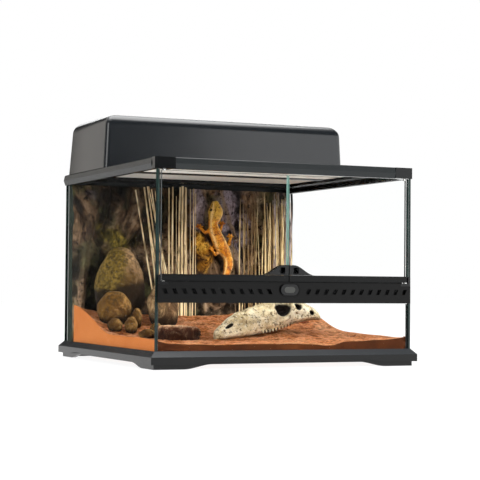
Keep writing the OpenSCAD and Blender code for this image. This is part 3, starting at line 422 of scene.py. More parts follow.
@dataclass(frozen=True)
class Metal(Finish):
    """Metal with fine drawn lines."""

    colour: str = "b9b9b6"
    roughness: float = 0.28
    lines: Point = (1, 0.04, 1)

    def paint(self, g: Graph) -> None:
        """Put the metal's lines and spots together."""
        line = g.noise(1.4, 3, 0.6, vector=g.turned(self.lines))
        g.shader(
            base_color=g.ramp(g.noise(30, 3), (0.3, tone(self.colour, 0.85)), (0.75, self.colour)),
            metallic=1.0,
            roughness=g.span(line, 0.3, 0.7, self.roughness - 0.08, self.roughness + 0.12),
        )
        g.bump(line, 0.03)


@dataclass(frozen=True)
class Plain(Finish):
    """A smooth pale or dark finish with faint mottling."""

    colour: str = "e9e6dc"
    roughness: float = 0.3

    def paint(self, g: Graph) -> None:
        """Put the finish's mottling together."""
        g.shader(
            base_color=g.ramp(g.noise(14, 4, 0.6), (0.3, tone(self.colour, 0.9)),
                              (0.7, self.colour)),
            roughness=g.span(g.noise(9, 3), 0.3, 0.7, self.roughness * 0.85,
                             self.roughness * 1.2),
            ior=1.5,
        )
        g.bump(g.noise(3, 2), 0.02)


@dataclass(frozen=True)
class FineScreen(Finish):
    """A dark woven insect screen as fine as cloth."""

    pitch: float = 1.1
    full_turn: float = 6.283

    def paint(self, g: Graph) -> None:
        """Put the weave's two sets of threads together."""
        waves = []
        for direction in ("X", "Z"):
            wave = g.add("ShaderNodeTexWave", wave_type="BANDS", bands_direction=direction)
            wave.inputs["Scale"].default_value = 1000 / self.pitch / 20 * self.full_turn
            g.link(g.place, wave.inputs["Vector"])
            waves.append(wave.outputs["Fac"])
        thread = g.sum("MAXIMUM", *waves)
        g.shader(base_color=g.ramp(thread, (0.35, "060606"), (0.8, "3a3c3e")),
                 roughness=0.5)
        g.bump(thread, 0.2)


class SandFace(Enum):
    """Where a face of the sand lies."""

    TOP = "top"
    SIDE_PANE = "side pane"
    FRONT_PANE = "front pane"


@dataclass(frozen=True)
class Sand(Finish):
    """Red desert sand, plain where it lies against the panes."""

    face: SandFace = SandFace.TOP

    def paint(self, g: Graph) -> None:
        """Put the sand's grains and bands, painted shade in its hollows and a painted highlight on
        its crests together.
        """
        speck = g.noise(8, 6, 0.78)
        broad = g.noise(60, 5, 0.62, 0.6)
        if self.face is SandFace.TOP:
            colour = g.ramp(broad, (0.3, "c06a2e"), (0.5, "f09a5c"), (0.7, "ffc08c"))
            colour = g.blend(g.span(speck, 0.3, 0.5, 0.8, 0.0), colour, "6a2c10")
            colour = g.blend(g.span(g.cells(5.5), 0.3, 0.55, 0.0, 0.4), colour, "80391a")
            # Painted shade in the hollows, then a painted highlight on the crests.
            colour = g.blend(g.mark("low"), colour, "743213")
            colour = g.blend(g.mark("high"), colour, "f0a87a")
            colour = g.blend(g.span(g.noise(4, 3, 0.8), 0.58, 0.7, 0.0, 0.6), colour, "f3bd94")
        elif self.face is SandFace.SIDE_PANE:
            colour = g.ramp(broad, (0.28, "c47036"), (0.72, "d18044"))
            colour = g.blend(g.span(speck, 0.3, 0.5, 0.25, 0.0), colour, "a85926")
        else:
            colour = g.ramp(broad, (0.3, "2c1305"), (0.7, "43200b"))
            colour = g.blend(g.span(speck, 0.3, 0.5, 0.4, 0.0), colour, "1f0d04")
            colour = g.blend(g.mark("rim"), colour, "b87443")
        g.shader(base_color=colour, roughness=0.93, ior=1.4, specular_ior_level=0.2)
        depth = 1.3 if self.face is SandFace.TOP else 0.1
        g.bump(g.cells(2.6), 1.4 * depth)
        g.bump(speck, 9.0 * depth)


@dataclass(frozen=True)
class Stone(Finish):
    """Weathered stone: body, painted shade on its foot, a painted highlight on its upper side, and
    moss.
    """

    body: str = "6b4f2c"
    dark: str = "2a1a10"
    pale: str = "9a8562"
    moss: str = "5f5423"
    grain_size: float = 30
    depth: float = 1.2

    def paint(self, g: Graph) -> None:
        """Put the stone's mottling, painted shade, painted highlight and moss together."""
        broad = g.noise(self.grain_size, 6, 0.7, 0.8)
        fine = g.noise(6, 5, 0.78)
        colour = g.ramp(broad, (0.36, tone(self.body, 0.4)), (0.5, self.body),
                        (0.64, tone(self.pale, 0.85)))
        # Moss, then a painted highlight in the pale colour.
        for name, code, low, high in (("moss", self.moss, 0.25, 2.1),
                                      ("worn", self.pale, 0.3, 1.7)):
            colour = g.blend(g.mark(name), colour, g.ramp(
                fine, (0.38, tone(code, low)), (0.5, code), (0.62, tone(code, high))))
        colour = g.blend(g.mark("shade"), colour,
                         g.ramp(fine, (0.34, tone(self.dark, 0.25)), (0.7, tone(self.dark, 1.1))))
        spot = g.span(g.noise(9, 4, 0.75), 0.56, 0.66, 0.0, 0.6)
        g.shader(base_color=g.blend(spot, colour, self.dark), roughness=0.88, ior=1.45,
                 specular_ior_level=0.3)
        g.bump(broad, self.depth * 3.0)
        g.bump(fine, self.depth * 1.6)


@dataclass(frozen=True)
class Crag(Finish):
    """The moulded rock background: brown and violet rock, moss and roots, with painted shade in its
    crevices, in broad patches and on its sides.
    """

    def paint(self, g: Graph) -> None:
        """Put the rock's colours together."""
        slant = g.turned((1, 1, 0.5), (0, 24, 0))
        broad = g.noise(60, 7, 0.7, 1.0, slant)
        fine = g.noise(9, 5, 0.75)
        veins = g.noise(22, 6, 0.75, 1.4, slant)
        colour = g.ramp(broad, (0.36, "0e0906"), (0.46, "35281e"),
                        (0.54, "72583f"), (0.62, "a88a6c"), (0.7, "d3b695"))
        green = g.span(g.noise(55, 4, 0.6), 0.5, 0.62, 0.0, 0.6)
        colour = g.blend(green, colour, g.ramp(veins, (0.34, "1d2118"), (0.64, "67683f")))
        for name, pattern, *stops in (
                ("lilac", veins, (0.34, "463b40"), (0.48, "8b7d83"), (0.62, "c9bac3")),
                ("moss", veins, (0.38, "23230f"), (0.5, "77692c"), (0.62, "c9a944")),
                ("ochre", veins, (0.38, "2e1806"), (0.5, "a06a1a"), (0.62, "e8b244")),
                ("root", fine, (0.3, "6e5746"), (0.7, "ab9580"))):
            colour = g.blend(g.mark(name), colour, g.ramp(pattern, *stops))
        colour = g.blend(g.span(fine, 0.36, 0.48, 0.9, 0.0), colour, "0f0a07")
        # Broad patches painted darker: painted shade.
        colour = g.blend(g.sum("MULTIPLY", g.mark("dim"), 0.62), colour, "0a0806")
        # Crevices painted near black: painted shade.
        colour = g.blend(g.mark("hollow"), colour, "080604")
        # The rock's sides and back are painted near-black green: painted shade.
        colour = g.blend(g.mark("flank"), colour, g.ramp(veins, (0.35, "0e120f"), (0.7, "2c3a2c")))
        g.shader(base_color=colour, roughness=0.85, ior=1.45, specular_ior_level=0.3)
        g.bump(veins, 5.0)
        g.bump(fine, 2.0)


@dataclass(frozen=True)
class Cane(Finish):
    """Dry cane or reed with streaks along it and darker joints."""

    pale: str = "d9c49c"
    body: str = "b3986c"
    dark: str = "6d5337"

    def paint(self, g: Graph) -> None:
        """Put the cane's streaks and joints together."""
        streak = g.noise(4, 5, 0.7, 0.3, g.turned((1, 1, 0.06)))
        patch = g.noise(26, 4, 0.7)
        colour = g.ramp(streak, (0.34, self.dark), (0.44, self.body), (0.58, self.pale))
        colour = g.blend(g.span(patch, 0.56, 0.66, 0.0, 0.5), colour, tone(self.dark, 1.3))
        colour = g.blend(g.mark("joint"), colour, tone(self.dark, 0.5))
        g.shader(base_color=colour, roughness=0.6, ior=1.45)
        g.bump(streak, 0.5)


@dataclass(frozen=True)
class Bone(Finish):
    """Cast bone: cream with coarse pits, browner towards its lower edge, and painted shade in its
    pits, dents and sockets.
    """

    def paint(self, g: Graph) -> None:
        """Put the bone's colour, its painted shade and its pits together."""
        broad = g.noise(30, 6, 0.7, 0.8)
        fine = g.noise(7, 5, 0.8)
        colour = g.ramp(broad, (0.3, "b2976a"), (0.46, "dfcda2"), (0.64, "f9f0d6"))
        # Darker brown in the pits of the bump: painted shade.
        colour = g.blend(g.span(fine, 0.38, 0.5, 1.0, 0.0), colour, "5c431f")
        colour = g.blend(g.span(g.noise(4.5, 4, 0.8), 0.54, 0.64, 0.0, 0.85), colour, "f6efd8")
        # Browner towards the lower edge, and in the dents as painted shade.
        colour = g.blend(g.mark("wash"), colour, "7a5a34")
        # Sockets and the gaps between the teeth are painted near black: painted shade.
        colour = g.blend(g.span(g.mark("hollow"), 0.1, 0.5, 0.0, 1.0), colour, "0e0603")
        g.shader(base_color=colour, roughness=0.75, ior=1.45, specular_ior_level=0.3)
        g.bump(broad, 3.0)
        g.bump(fine, 2.6)


@dataclass(frozen=True)
class GeckoSkin(Finish):
    """Small-scaled orange skin with a pale stripe down each side and brown blotches."""

    def paint(self, g: Graph) -> None:
        """Put the skin's scales and blotches together."""
        blotch = g.noise(10, 5, 0.7, 0.6)
        colour = g.ramp(blotch, (0.34, "7a3608"), (0.46, "c2700f"),
                        (0.58, "dc9220"), (0.68, "f2bd4e"))
        colour = g.blend(g.mark("head"), colour, g.ramp(blotch, (0.34, "b0781c"), (0.6, "e8b840")))
        colour = g.blend(g.mark("stripe"), colour, "ffd98c")
        colour = g.blend(g.span(g.noise(5, 4, 0.75), 0.53, 0.61, 0.0, 0.85), colour, "5e2a06")
        colour = g.blend(g.mark("eye"), colour, "140c06")
        g.shader(base_color=colour, roughness=0.5, ior=1.45)
        g.bump(g.cells(1.9), 0.7)
        g.bump(blotch, 1.4)


SATIN = Satin("satin_black_plastic", colour="0c0d0d", gloss=0.26)
# The base carries a painted highlight on its upward slopes.
FOOT = Satin("base_black_plastic", colour="0c0d0d", gloss=0.42, painted_slope_highlight="333537")
# A lighter copy of the satin black for the top frame: painted light that stands in for the light on
# its front.
RIM = Satin("rim_black_plastic", colour="1f2223", gloss=0.3)
STRIP = Moulded("strip_black_plastic", colour="060606", roughness=0.36)
GLOSS = Moulded("gloss_black_plastic", colour="0c0d0e", roughness=0.16, grain_depth=0.003,
                uneven=0.02, gloss=0.5)
HOOD = Satin("hood_black_plastic", colour="1a1d20", roughness=0.22, gloss=1.0,
             grain_depth=0.004)
CLEAR = Pane("float_glass")
EDGE_DARK = PaneEdge("dark_glass_edge", deep="050c0b", pale="16302b")
# The door panes' meeting edges are painted pale teal: a painted glow of light along the glass edge.
EDGE_GLOW = PaneEdge("painted_glow_glass_edge", deep="5f9085", pale="a9d3c8")
SILICONE = Plain("black_silicone", colour="0b0d0d", roughness=0.35)
STEEL = Metal("turned_steel")
BLACKENED = Metal("blackened_steel", colour="26282a", roughness=0.36)
REFLECTOR = Metal("bright_reflector", colour="d6d7d9", roughness=0.2, lines=(0.04, 1, 1))
PLATE = Plain("satin_plate", colour="3c3d3a", roughness=0.4)
WIRE = Plain("screen_wire", colour="eeeae2", roughness=0.5)
BAR = Moulded("bar_black_plastic", colour="050606", roughness=0.4)
CERAMIC = Plain("lamp_holder_ceramic", colour="e6e2d6", roughness=0.25)
FROSTED = Plain("frosted_lamp", colour="f1efe6", roughness=0.35)
VENT = FineScreen("vent_screen_weave")
SAND_TOP = Sand("sand_surface")
SAND_SIDE = Sand("sand_against_side_pane", face=SandFace.SIDE_PANE)
SAND_FRONT = Sand("sand_against_front_pane", face=SandFace.FRONT_PANE)
CRAG = Crag("rock_background_finish")
BOULDER = Stone("mossy_boulder", body="523b1b", dark="160c06", pale="8a6e4e", moss="544318")
COBBLE = Stone("brown_cobble", body="4c300f", dark="150c05", pale="94703c", moss="4a320c",
               grain_size=20)
ROUND = Stone("grey_brown_stone", body="64492f", dark="24160e", pale="b8976c", moss="5b5233",
              grain_size=24)
SLAB = Stone("red_slab", body="6d4128", dark="200d06", pale="e0b48c", moss="7d5a38",
             grain_size=16)
CANE = Cane("dry_cane", pale="f0dbb0", body="c9ae80", dark="6d5434")
REED = Cane("dry_reed", pale="e6cf9c", body="b89a68", dark="5c4528")
BARK = Cane("grey_bark", pale="b9aaa6", body="80716d", dark="3a2e2a")
STALE = Cane("brown_reed", pale="9a7c4e", body="6a5030", dark="2e2012")
BONE = Bone("cast_bone")
SKIN = GeckoSkin("gecko_skin")
FLAG = Plain("black_flag_finish", colour="050505", roughness=0.9)
GREY_CARD = Plain("grey_card_finish", colour="f2ede6", roughness=0.9)


# ---- making meshes ------------------------------------------------------------------------


class Form:
    """Points and faces of one piece while it is being made."""

    def __init__(self) -> None:
        """Start with nothing."""
        self.points: list[Point] = []
        self.faces: list[tuple[int, ...]] = []
        self.slots: list[int] = []
        self.marks: dict[str, list[float]] = {}

    def add(self, points: Sequence[Point], faces: Sequence[Sequence[int]], slot: int = 0,
            **marks: Sequence[float]) -> None:
        """Add points and the faces between them.

        Args:
            points: New points.
            faces: Faces that count the new points from 0.
            slot: Finish of the new faces.
            marks: Values stored on the new points.
        """
        first = len(self.points)
        for name in set(self.marks) | set(marks):
            values = self.marks.setdefault(name, [0.0] * first)
            values.extend(marks.get(name, [0.0] * len(points)))
        self.points.extend(points)
        self.faces.extend(tuple(first + i for i in f) for f in faces)
        self.slots.extend([slot] * len(faces))

    def sheet(self, rows: Sequence[Sequence[Point]], slot: int = 0,
              **marks: Sequence[float]) -> None:
        """Add a grid of points as a sheet."""
        cols = len(rows[0])
        faces = [(a, a + 1, a + cols + 1, a + cols)
                 for j in range(len(rows) - 1) for a in range(j * cols, (j + 1) * cols - 1)]
        self.add([p for row in rows for p in row], faces, slot, **marks)

    def loft(self, rings: Sequence[Sequence[Point]], slot: int = 0, caps: bool = True,
             **marks: Sequence[float]) -> None:
        """Add a skin through closed rings, each with the same number of points."""
        cols = len(rings[0])
        faces: list[tuple[int, ...]] = []
        for j in range(len(rings) - 1):
            for i in range(cols):
                a, b = j * cols + i, j * cols + (i + 1) % cols
                faces.append((a, b, b + cols, a + cols))
        if caps:
            faces.append(tuple(range(cols))[::-1])
            faces.append(tuple(range((len(rings) - 1) * cols, len(rings) * cols)))
        self.add([p for r in rings for p in r], faces, slot, **marks)

    def tube(self, path: Sequence[Point], radii: Sequence[float], sides: int = 8, slot: int = 0,
             flat: float = 1.0, **marks: Sequence[float]) -> None:
        """Add a tube along a path.

        Args:
            path: Points along the middle.
            radii: Radius at each point.
            sides: Number of sides.
            slot: Finish of the tube.
            flat: Factor on the radius in the tube's second direction.
            marks: One value for each point of the path.
        """
        rings = []
        for k, centre in enumerate(path):
            before, after = Vector(path[max(0, k - 1)]), Vector(path[min(len(path) - 1, k + 1)])
            ahead = (after - before).normalized()
            across = ahead.cross(Vector((0, 1, 0)))
            across = across.normalized() if across.length > 0.05 else Vector((1, 0, 0))
            up = across.cross(ahead)
            rings.append([tuple(Vector(centre) + radii[k] * (
                cosd(360 * i / sides) * across + flat * sind(360 * i / sides) * up))
                for i in range(sides)])
        spread = {n: [v for v in values for _ in range(sides)] for n, values in marks.items()}
        self.loft(rings, slot, **spread)

    def box(self, low: Point, high: Point, slot: int = 0) -> None:
        """Add a box from its lowest to its highest corner."""
        (x0, y0, z0), (x1, y1, z1) = low, high
        points = [(x, y, z) for z in (z0, z1) for y in (y0, y1) for x in (x0, x1)]
        self.add(points, [(0, 2, 3, 1), (4, 5, 7, 6), (0, 1, 5, 4), (2, 6, 7, 3), (0, 4, 6, 2),
                          (1, 3, 7, 5)], slot)

    def make(self, name: str, finishes: Sequence[Finish], sharp: float | None = 40,
             weld: bool = False) -> bpy.types.Object:
        """Make the piece's object.

        Args:
            name: Name of the piece.
            finishes: Finishes in the order of their slots.
            sharp: Least angle in degrees of an edge that stays sharp, or None for flat faces.
            weld: True to join points that lie together.

        Returns:
            The new object.
        """
        mesh = bpy.data.meshes.new(name)
        mesh.from_pydata([(x * MM, y * MM, z * MM) for x, y, z in self.points], [], self.faces)
        mesh.polygons.foreach_set("material_index", self.slots)
        for mark, values in self.marks.items():
            layer = mesh.attributes.new(mark, "FLOAT", "POINT")
            layer.data.foreach_set("value", values)
        tool = bmesh.new()
        tool.from_mesh(mesh)
        if weld:
            bmesh.ops.remove_doubles(tool, verts=tool.verts, dist=1e-6)
        bmesh.ops.recalc_face_normals(tool, faces=tool.faces)
        tool.to_mesh(mesh)
        tool.free()
        for finish in finishes:
            mesh.materials.append(finish.material())
        if sharp is not None:
            mesh.shade_smooth()
            mesh.set_sharp_from_angle(angle=math.radians(sharp))
        mesh.update()
        piece = bpy.data.objects.new(name, mesh)
        bpy.context.scene.collection.objects.link(piece)
        return piece


def edges_of(rows: Sequence[Sequence[Point]]) -> tuple[Sequence[Point], ...]:
    """The four edges of a grid of points, one after the other round it."""
    return (rows[0], [row[-1] for row in rows], rows[-1][::-1], [row[0] for row in rows][::-1])


def rim_of(rows: Sequence[Sequence[Point]]) -> list[Point]:
    """Points once round a grid of points."""
    return [point for edge in edges_of(rows) for point in edge[:-1]]


def apply_modifiers(piece: bpy.types.Object) -> None:
    """Turn a piece's modifiers into its mesh."""
    bpy.context.view_layer.update()
    graph = bpy.context.evaluated_depsgraph_get()
    mesh = bpy.data.meshes.new_from_object(piece.evaluated_get(graph), depsgraph=graph)
    piece.modifiers.clear()
    piece.data = mesh


def install(piece: bpy.types.Object, body: str, slot: str, *nodes: str) -> None:
    """Put a piece on its body in the place of nodes.

    Args:
        piece: The new piece.
        body: Body that it rides on.
        slot: Material slot of the record that its finish stands for. Not used.
        nodes: Nodes that it replaces.
    """
    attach(piece, body)
    if nodes:
        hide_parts(*nodes)
    LOG.info("%s rides on %s, %d faces", piece.name, body, len(piece.data.polygons))


def dress(frame: dict, finish: Finish, *nodes: str) -> None:
    """Give nodes of the frame a finish.

    Args:
        frame: The loaded frame.
        finish: The finish.
        nodes: Names of the nodes.
    """
    for node in nodes:
        mesh = frame["nodes"][node].data
        if not mesh.materials:
            mesh.materials.append(None)
        for i in range(len(mesh.materials)):
            mesh.materials[i] = finish.material()
        LOG.info("%s dressed in %s", node, finish.name)


# ---- camera and studio --------------------------------------------------------------------


@dataclass(frozen=True)
class PhotoCamera:
    """Camera at the photo's viewing angle."""

    eye: Point = (-1026.8, -2307.7, 128.0)
    yaw: float = 24.36
    pitch: float = 1.81
    roll: float = 0.47
    focal_share: float = 1464.6 / 480
    sensor: float = 36.0
    reach_m: float = 50.0

    def place(self) -> None:
        """Make the camera and set it as the scene's."""
        ahead = Vector((sind(self.yaw) * cosd(self.pitch), cosd(self.yaw) * cosd(self.pitch),
                        sind(self.pitch)))
        right = Vector((cosd(self.yaw), -sind(self.yaw), 0))
        up = right.cross(ahead)
        across = cosd(self.roll) * right + sind(self.roll) * up
        rise = cosd(self.roll) * up - sind(self.roll) * right
        data = bpy.data.cameras.new("photo_camera")
        data.lens = self.focal_share * self.sensor
        data.sensor_width = self.sensor
        data.sensor_fit = "HORIZONTAL"
        data.clip_end = self.reach_m
        camera = bpy.data.objects.new("photo_camera", data)
        turn = Matrix((across, rise, -ahead)).transposed().to_4x4()
        camera.matrix_world = Matrix.Translation(Vector(self.eye) * MM) @ turn
        bpy.context.scene.collection.objects.link(camera)
        bpy.context.scene.camera = camera


@dataclass(frozen=True)
class Softbox:
    """A soft lamp."""

    name: str
    place_m: Point
    aim_m: Point
    size_m: tuple[float, float]
    watts: float
    reflected: bool = True

    def hang(self) -> None:
        """Make the lamp."""
        data = bpy.data.lights.new(self.name, "AREA")
        data.shape = "RECTANGLE"
        data.size, data.size_y = self.size_m
        data.energy = self.watts
        lamp = bpy.data.objects.new(self.name, data)
        lamp.location = self.place_m
        way = Vector(self.aim_m) - Vector(self.place_m)
        lamp.rotation_euler = way.to_track_quat("-Z", "Y").to_euler()
        lamp.visible_glossy = self.reflected
        bpy.context.scene.collection.objects.link(lamp)


@dataclass(frozen=True)
class Card:
    """A curved card that only reflections see, as in a photographer's light tent.

    Angles are in degrees; a bearing runs from straight in front of the object to its left.
    """

    name: str
    bearings: tuple[float, float]
    heights: tuple[float, float]
    finish: Finish = FLAG
    distance_m: float = 4.0
    cols: int = 24
    rows: int = 6

    def hang(self) -> None:
        """Make the card."""
        r = self.distance_m / MM
        rows = []
        for j in range(self.rows + 1):
            h = lerp(*self.heights, j / self.rows)
            bearings = [lerp(*self.bearings, i / self.cols) for i in range(self.cols + 1)]
            rows.append([(-r * cosd(h) * sind(b), -r * cosd(h) * cosd(b), r * sind(h))
                         for b in bearings])
        form = Form()
        form.sheet(rows)
        card = form.make(self.name, [self.finish], 60)
        for ray in ("camera", "diffuse", "transmission", "shadow"):
            setattr(card, f"visible_{ray}", False)


@dataclass(frozen=True)
class Studio:
    """Pale floor, white surroundings and soft lamps."""

    floor_size_m: float = 14.0
    floor_z: float = -0.2
    sky_strength: float = 0.55
    seen_strength: float = 1.0
    softboxes: tuple[Softbox, ...] = (
        Softbox("left_softbox", (-2.5, -1.6, 1.3), (0, 0, 0.15), (1.6, 1.4), 16),
        Softbox("key_softbox", (0.7, -2.6, 1.1), (0, 0, 0.15), (1.5, 0.9), 70, False),
        Softbox("top_softbox", (0.2, 0.4, 2.4), (0, 0, 0.2), (1.8, 1.8), 34),
        Softbox("rear_softbox", (0.8, 2.4, 1.6), (0, 0, 0.2), (1.6, 1.2), 16),
    )
    cards: tuple[Card, ...] = (
        Card("upper_flag", (-110, 110), (27, 60)),
        Card("left_flag", (-21, 112), (1, 27)),
        Card("rear_flag", (165, 240), (0, 34)),
        Card("side_card", (112, 165), (0, 45), GREY_CARD),
    )

    def build(self) -> None:
        """Make the floor, the surroundings, the lamps and the cards."""
        self.lay_floor()
        self.surround()
        for fitting in (*self.softboxes, *self.cards):
            fitting.hang()
        bpy.context.scene.view_settings.view_transform = "Standard"

    def lay_floor(self) -> None:
        """Make the floor, which shows nearly white and keeps the shadow."""
        half = self.floor_size_m / 2 / MM
        corners = ((-1, -1), (1, -1), (1, 1), (-1, 1))
        form = Form()
        form.add([(x * half, y * half, self.floor_z) for x, y in corners], [(0, 1, 2, 3)])
        floor = form.make("studio_floor", [FLOOR])

    def surround(self) -> None:
        """Make the surroundings white to the eye and softer as light."""
        world = bpy.data.worlds.new("studio_surround")
        bpy.context.scene.world = world
        world.use_nodes = True
        nodes = Nodes(world.node_tree)
        light, plain = (nodes.add("ShaderNodeBackground") for _ in range(2))
        for background, strength in ((light, self.sky_strength), (plain, self.seen_strength)):
            nodes.put(background.inputs[0], WHITE)
            nodes.put(background.inputs[1], strength)
        out = nodes.add("ShaderNodeOutputWorld")
        nodes.link(nodes.mix(nodes.seen(), light.outputs[0], plain.outputs[0]), out.inputs[0])


@dataclass(frozen=True)
class PaleFloor(Finish):
    """The studio floor: near white to the eye, with its shadow kept."""

    own_light: float = 0.82
    glow: float = 1.12
    greys: tuple[float, float] = (0.9, 0.93)

    def paint(self, g: Graph) -> None:
        """Put the floor's colour and its own light for the eye together."""
        dark, light = ((grey, grey, grey, 1.0) for grey in self.greys)
        g.shader(base_color=g.ramp(g.noise(400, 2), (0.3, dark), (0.7, light)), roughness=0.9)
        glow = g.add("ShaderNodeEmission")
        g.put(glow.inputs[0], WHITE)
        g.put(glow.inputs[1], self.glow)
        share = g.sum("MULTIPLY", g.seen(), self.own_light)
        g.link(g.mix(share, g.skin.outputs[0], glow.outputs[0]), g.out.inputs[0])


FLOOR = PaleFloor("studio_floor_finish")


# ---- glass --------------------------------------------------------------------------------


@dataclass(frozen=True)
class GlassPane:
    """One pane with ground edges, made in its node's box."""

    node: str
    body: str
    edge: Finish = EDGE_DARK
    # Finish of the edges where the doors meet, painted pale as a glow of light.
    meeting_edge: Finish = EDGE_GLOW
    meeting_reach: float = 20.0
    seam: float = 0.4
    facing: float = 0.9
    upright: float = 0.5

    def build(self) -> None:
        """Make the pane and put it in its node's place."""
        low, high = (Vector(v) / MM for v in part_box(self.node))
        size = high - low
        thin = min(range(3), key=lambda k: size[k])
        form = Form()
        form.box(tuple(low), tuple(high))
        piece = form.make(f"{self.node}_pane", [CLEAR, self.edge, self.meeting_edge], None)
        tool = bmesh.new()
        tool.from_mesh(piece.data)
        bmesh.ops.bevel(tool, geom=list(tool.edges), offset=self.seam * MM, segments=1,
                        affect="EDGES")
        for face in tool.faces:
            broad = abs(face.normal[thin]) > self.facing
            middle = abs(face.calc_center_median().x) < self.meeting_reach * MM and thin == 1
            upright = abs(face.normal.z) < self.upright
            face.material_index = 0 if broad else 2 if middle and upright else 1
        tool.to_mesh(piece.data)
        tool.free()
        install(piece, self.body, "clear_glass", self.node)


@dataclass(frozen=True)
class Glazing:
    """All the panes."""

    panes: tuple[GlassPane, ...] = (
        GlassPane("bottom_glass", "tank"),
        GlassPane("left_glass", "tank"),
        GlassPane("right_glass", "tank"),
        GlassPane("rear_glass", "tank"),
        GlassPane("front_lower_glass", "tank"),
        GlassPane("left_door_glass", "left_door"),
        GlassPane("right_door_glass", "right_door"),
    )

    def build(self) -> None:
        """Make every pane."""
        for pane in self.panes:
            pane.build()


# ---- seals and screens --------------------------------------------------------------------


@dataclass(frozen=True)
class Seals:
    """A sill brush behind the door rails, a bead in the rear right corner and draught strips
    on the side panes.
    """

    brush_half: float = 213.2
    brush_y: tuple[float, float] = (-218.2, -216.8)
    brush_z: tuple[float, float] = (132.0, 137.4)
    brush_pitch: float = 4.1
    brush_notch: float = 0.4
    bead_x: tuple[float, float] = (218.9, 220.9)
    bead_z: tuple[float, float] = (60.0, 306.0)
    bead_steps: int = 24
    post_x: tuple[float, float] = (218.4, 220.9)
    post_y: tuple[float, float] = (-224.6, -221.2)
    post_z: tuple[float, float, float] = (137.0, 220.0, 306.0)
    post_lip: float = 0.8

    def build(self) -> None:
        """Make the brush, the bead and the draught strips."""
        form = Form()
        count = int(2 * self.brush_half / self.brush_pitch)
        for k in range(count):
            x = -self.brush_half + k * self.brush_pitch
            form.box((x, self.brush_y[0], self.brush_z[0]),
                     (x + self.brush_pitch, self.brush_y[1],
                      self.brush_z[1] - self.brush_notch * (k % 2)))
        install(form.make("sill_brush", [SILICONE], None), "tank", "silicone")
        form = Form()
        x0, x1 = self.bead_x
        rings = []
        for k in range(self.bead_steps + 1):
            z = lerp(*self.bead_z, k / self.bead_steps)
            y = LAND.rock(220, z) + LAND.right_trim + 0.3 * grain(0, 0, z, 20, 2)
            rings.append([(x1, y - 2.4, z), (x1, y + 3.0, z), (x0, y + 3.0, z),
                          (x0 + 0.5, y - 0.6, z)])
        form.loft(rings)
        install(form.make("corner_bead", [SILICONE], 30), "tank", "silicone")
        for side in Side:
            self.make_post(side)

    def make_post(self, side: Side) -> None:
        """Make the draught strip on a side pane's front edge, with a rounded lip."""
        form = Form()
        (x0, x1), (y0, y1), r = self.post_x, self.post_y, self.post_lip
        lip = [(x0 + r - r * cosd(a), y0 + r - r * sind(a)) for a in (0, 30, 60, 90)]
        outline = [(x0, y1)] + lip + [(x1, y0), (x1, y1)]
        form.loft([[(side.value * x, y, z) for x, y in outline] for z in self.post_z])
        install(form.make(f"{side.word}_draught_strip", [EDGE_DARK], 30), "tank", "silicone")


@dataclass(frozen=True)
class WovenScreen:
    """The cover's two fields of crossed wires."""

    pitch: float = 2.2
    wire: float = 0.36
    half_x: float = 185.0
    fields: tuple[tuple[float, float], ...] = ((-200.0, 6.0), (28.0, 146.0))
    low: float = 319.72

    def places(self, low: float, high: float) -> list[float]:
        """Middles of the wires that fill the width between two edges."""
        count = int((high - low) / self.pitch)
        return [low + self.wire / 2 + i * (high - low - self.wire) / count
                for i in range(count + 1)]

    def build(self) -> None:
        """Make the screen and put it in its node's place."""
        form = Form()
        half = self.wire / 2
        z0, z1, z2 = (self.low + k * self.wire for k in range(3))
        for y0, y1 in self.fields:
            for x in self.places(-self.half_x, self.half_x):
                form.box((x - half, y0, z0), (x + half, y1, z1))
            for y in self.places(y0, y1):
                form.box((-self.half_x, y - half, z1), (self.half_x, y + half, z2))
        install(form.make("woven_cover_screen", [WIRE], None), "cover", "steel_mesh",
                "cover_screen")


@dataclass(frozen=True)
class CrossBar:
    """The cover's cross bar, with rounded lower edges close under the screen."""

    half_x: float = 185.0
    y: tuple[float, float] = (6.0, 28.0)
    z: tuple[float, float] = (318.2, 325.0)
    round: float = 1.4
    steps: int = 5

    def build(self) -> None:
        """Make the bar and put it in its node's place."""
        (y0, y1), (z0, z1), r = self.y, self.z, self.round
        outline = [(y0, z1), (y0, z0 + r)]
        outline += [(y0 + r - r * cosd(90 * k / self.steps), z0 + r - r * sind(90 * k / self.steps))
                    for k in range(1, self.steps + 1)]
        outline += [(y0 + y1 - y, z) for y, z in outline[::-1]]
        rings = [[(x, y, z) for y, z in outline] for x in (-self.half_x, 0, self.half_x)]
        form = Form()
        form.loft(rings)
        install(form.make("screen_cross_bar", [BAR], 30), "cover", "black_plastic",
                "cover_cross_bar")


# ---- lamp hood ----------------------------------------------------------------------------


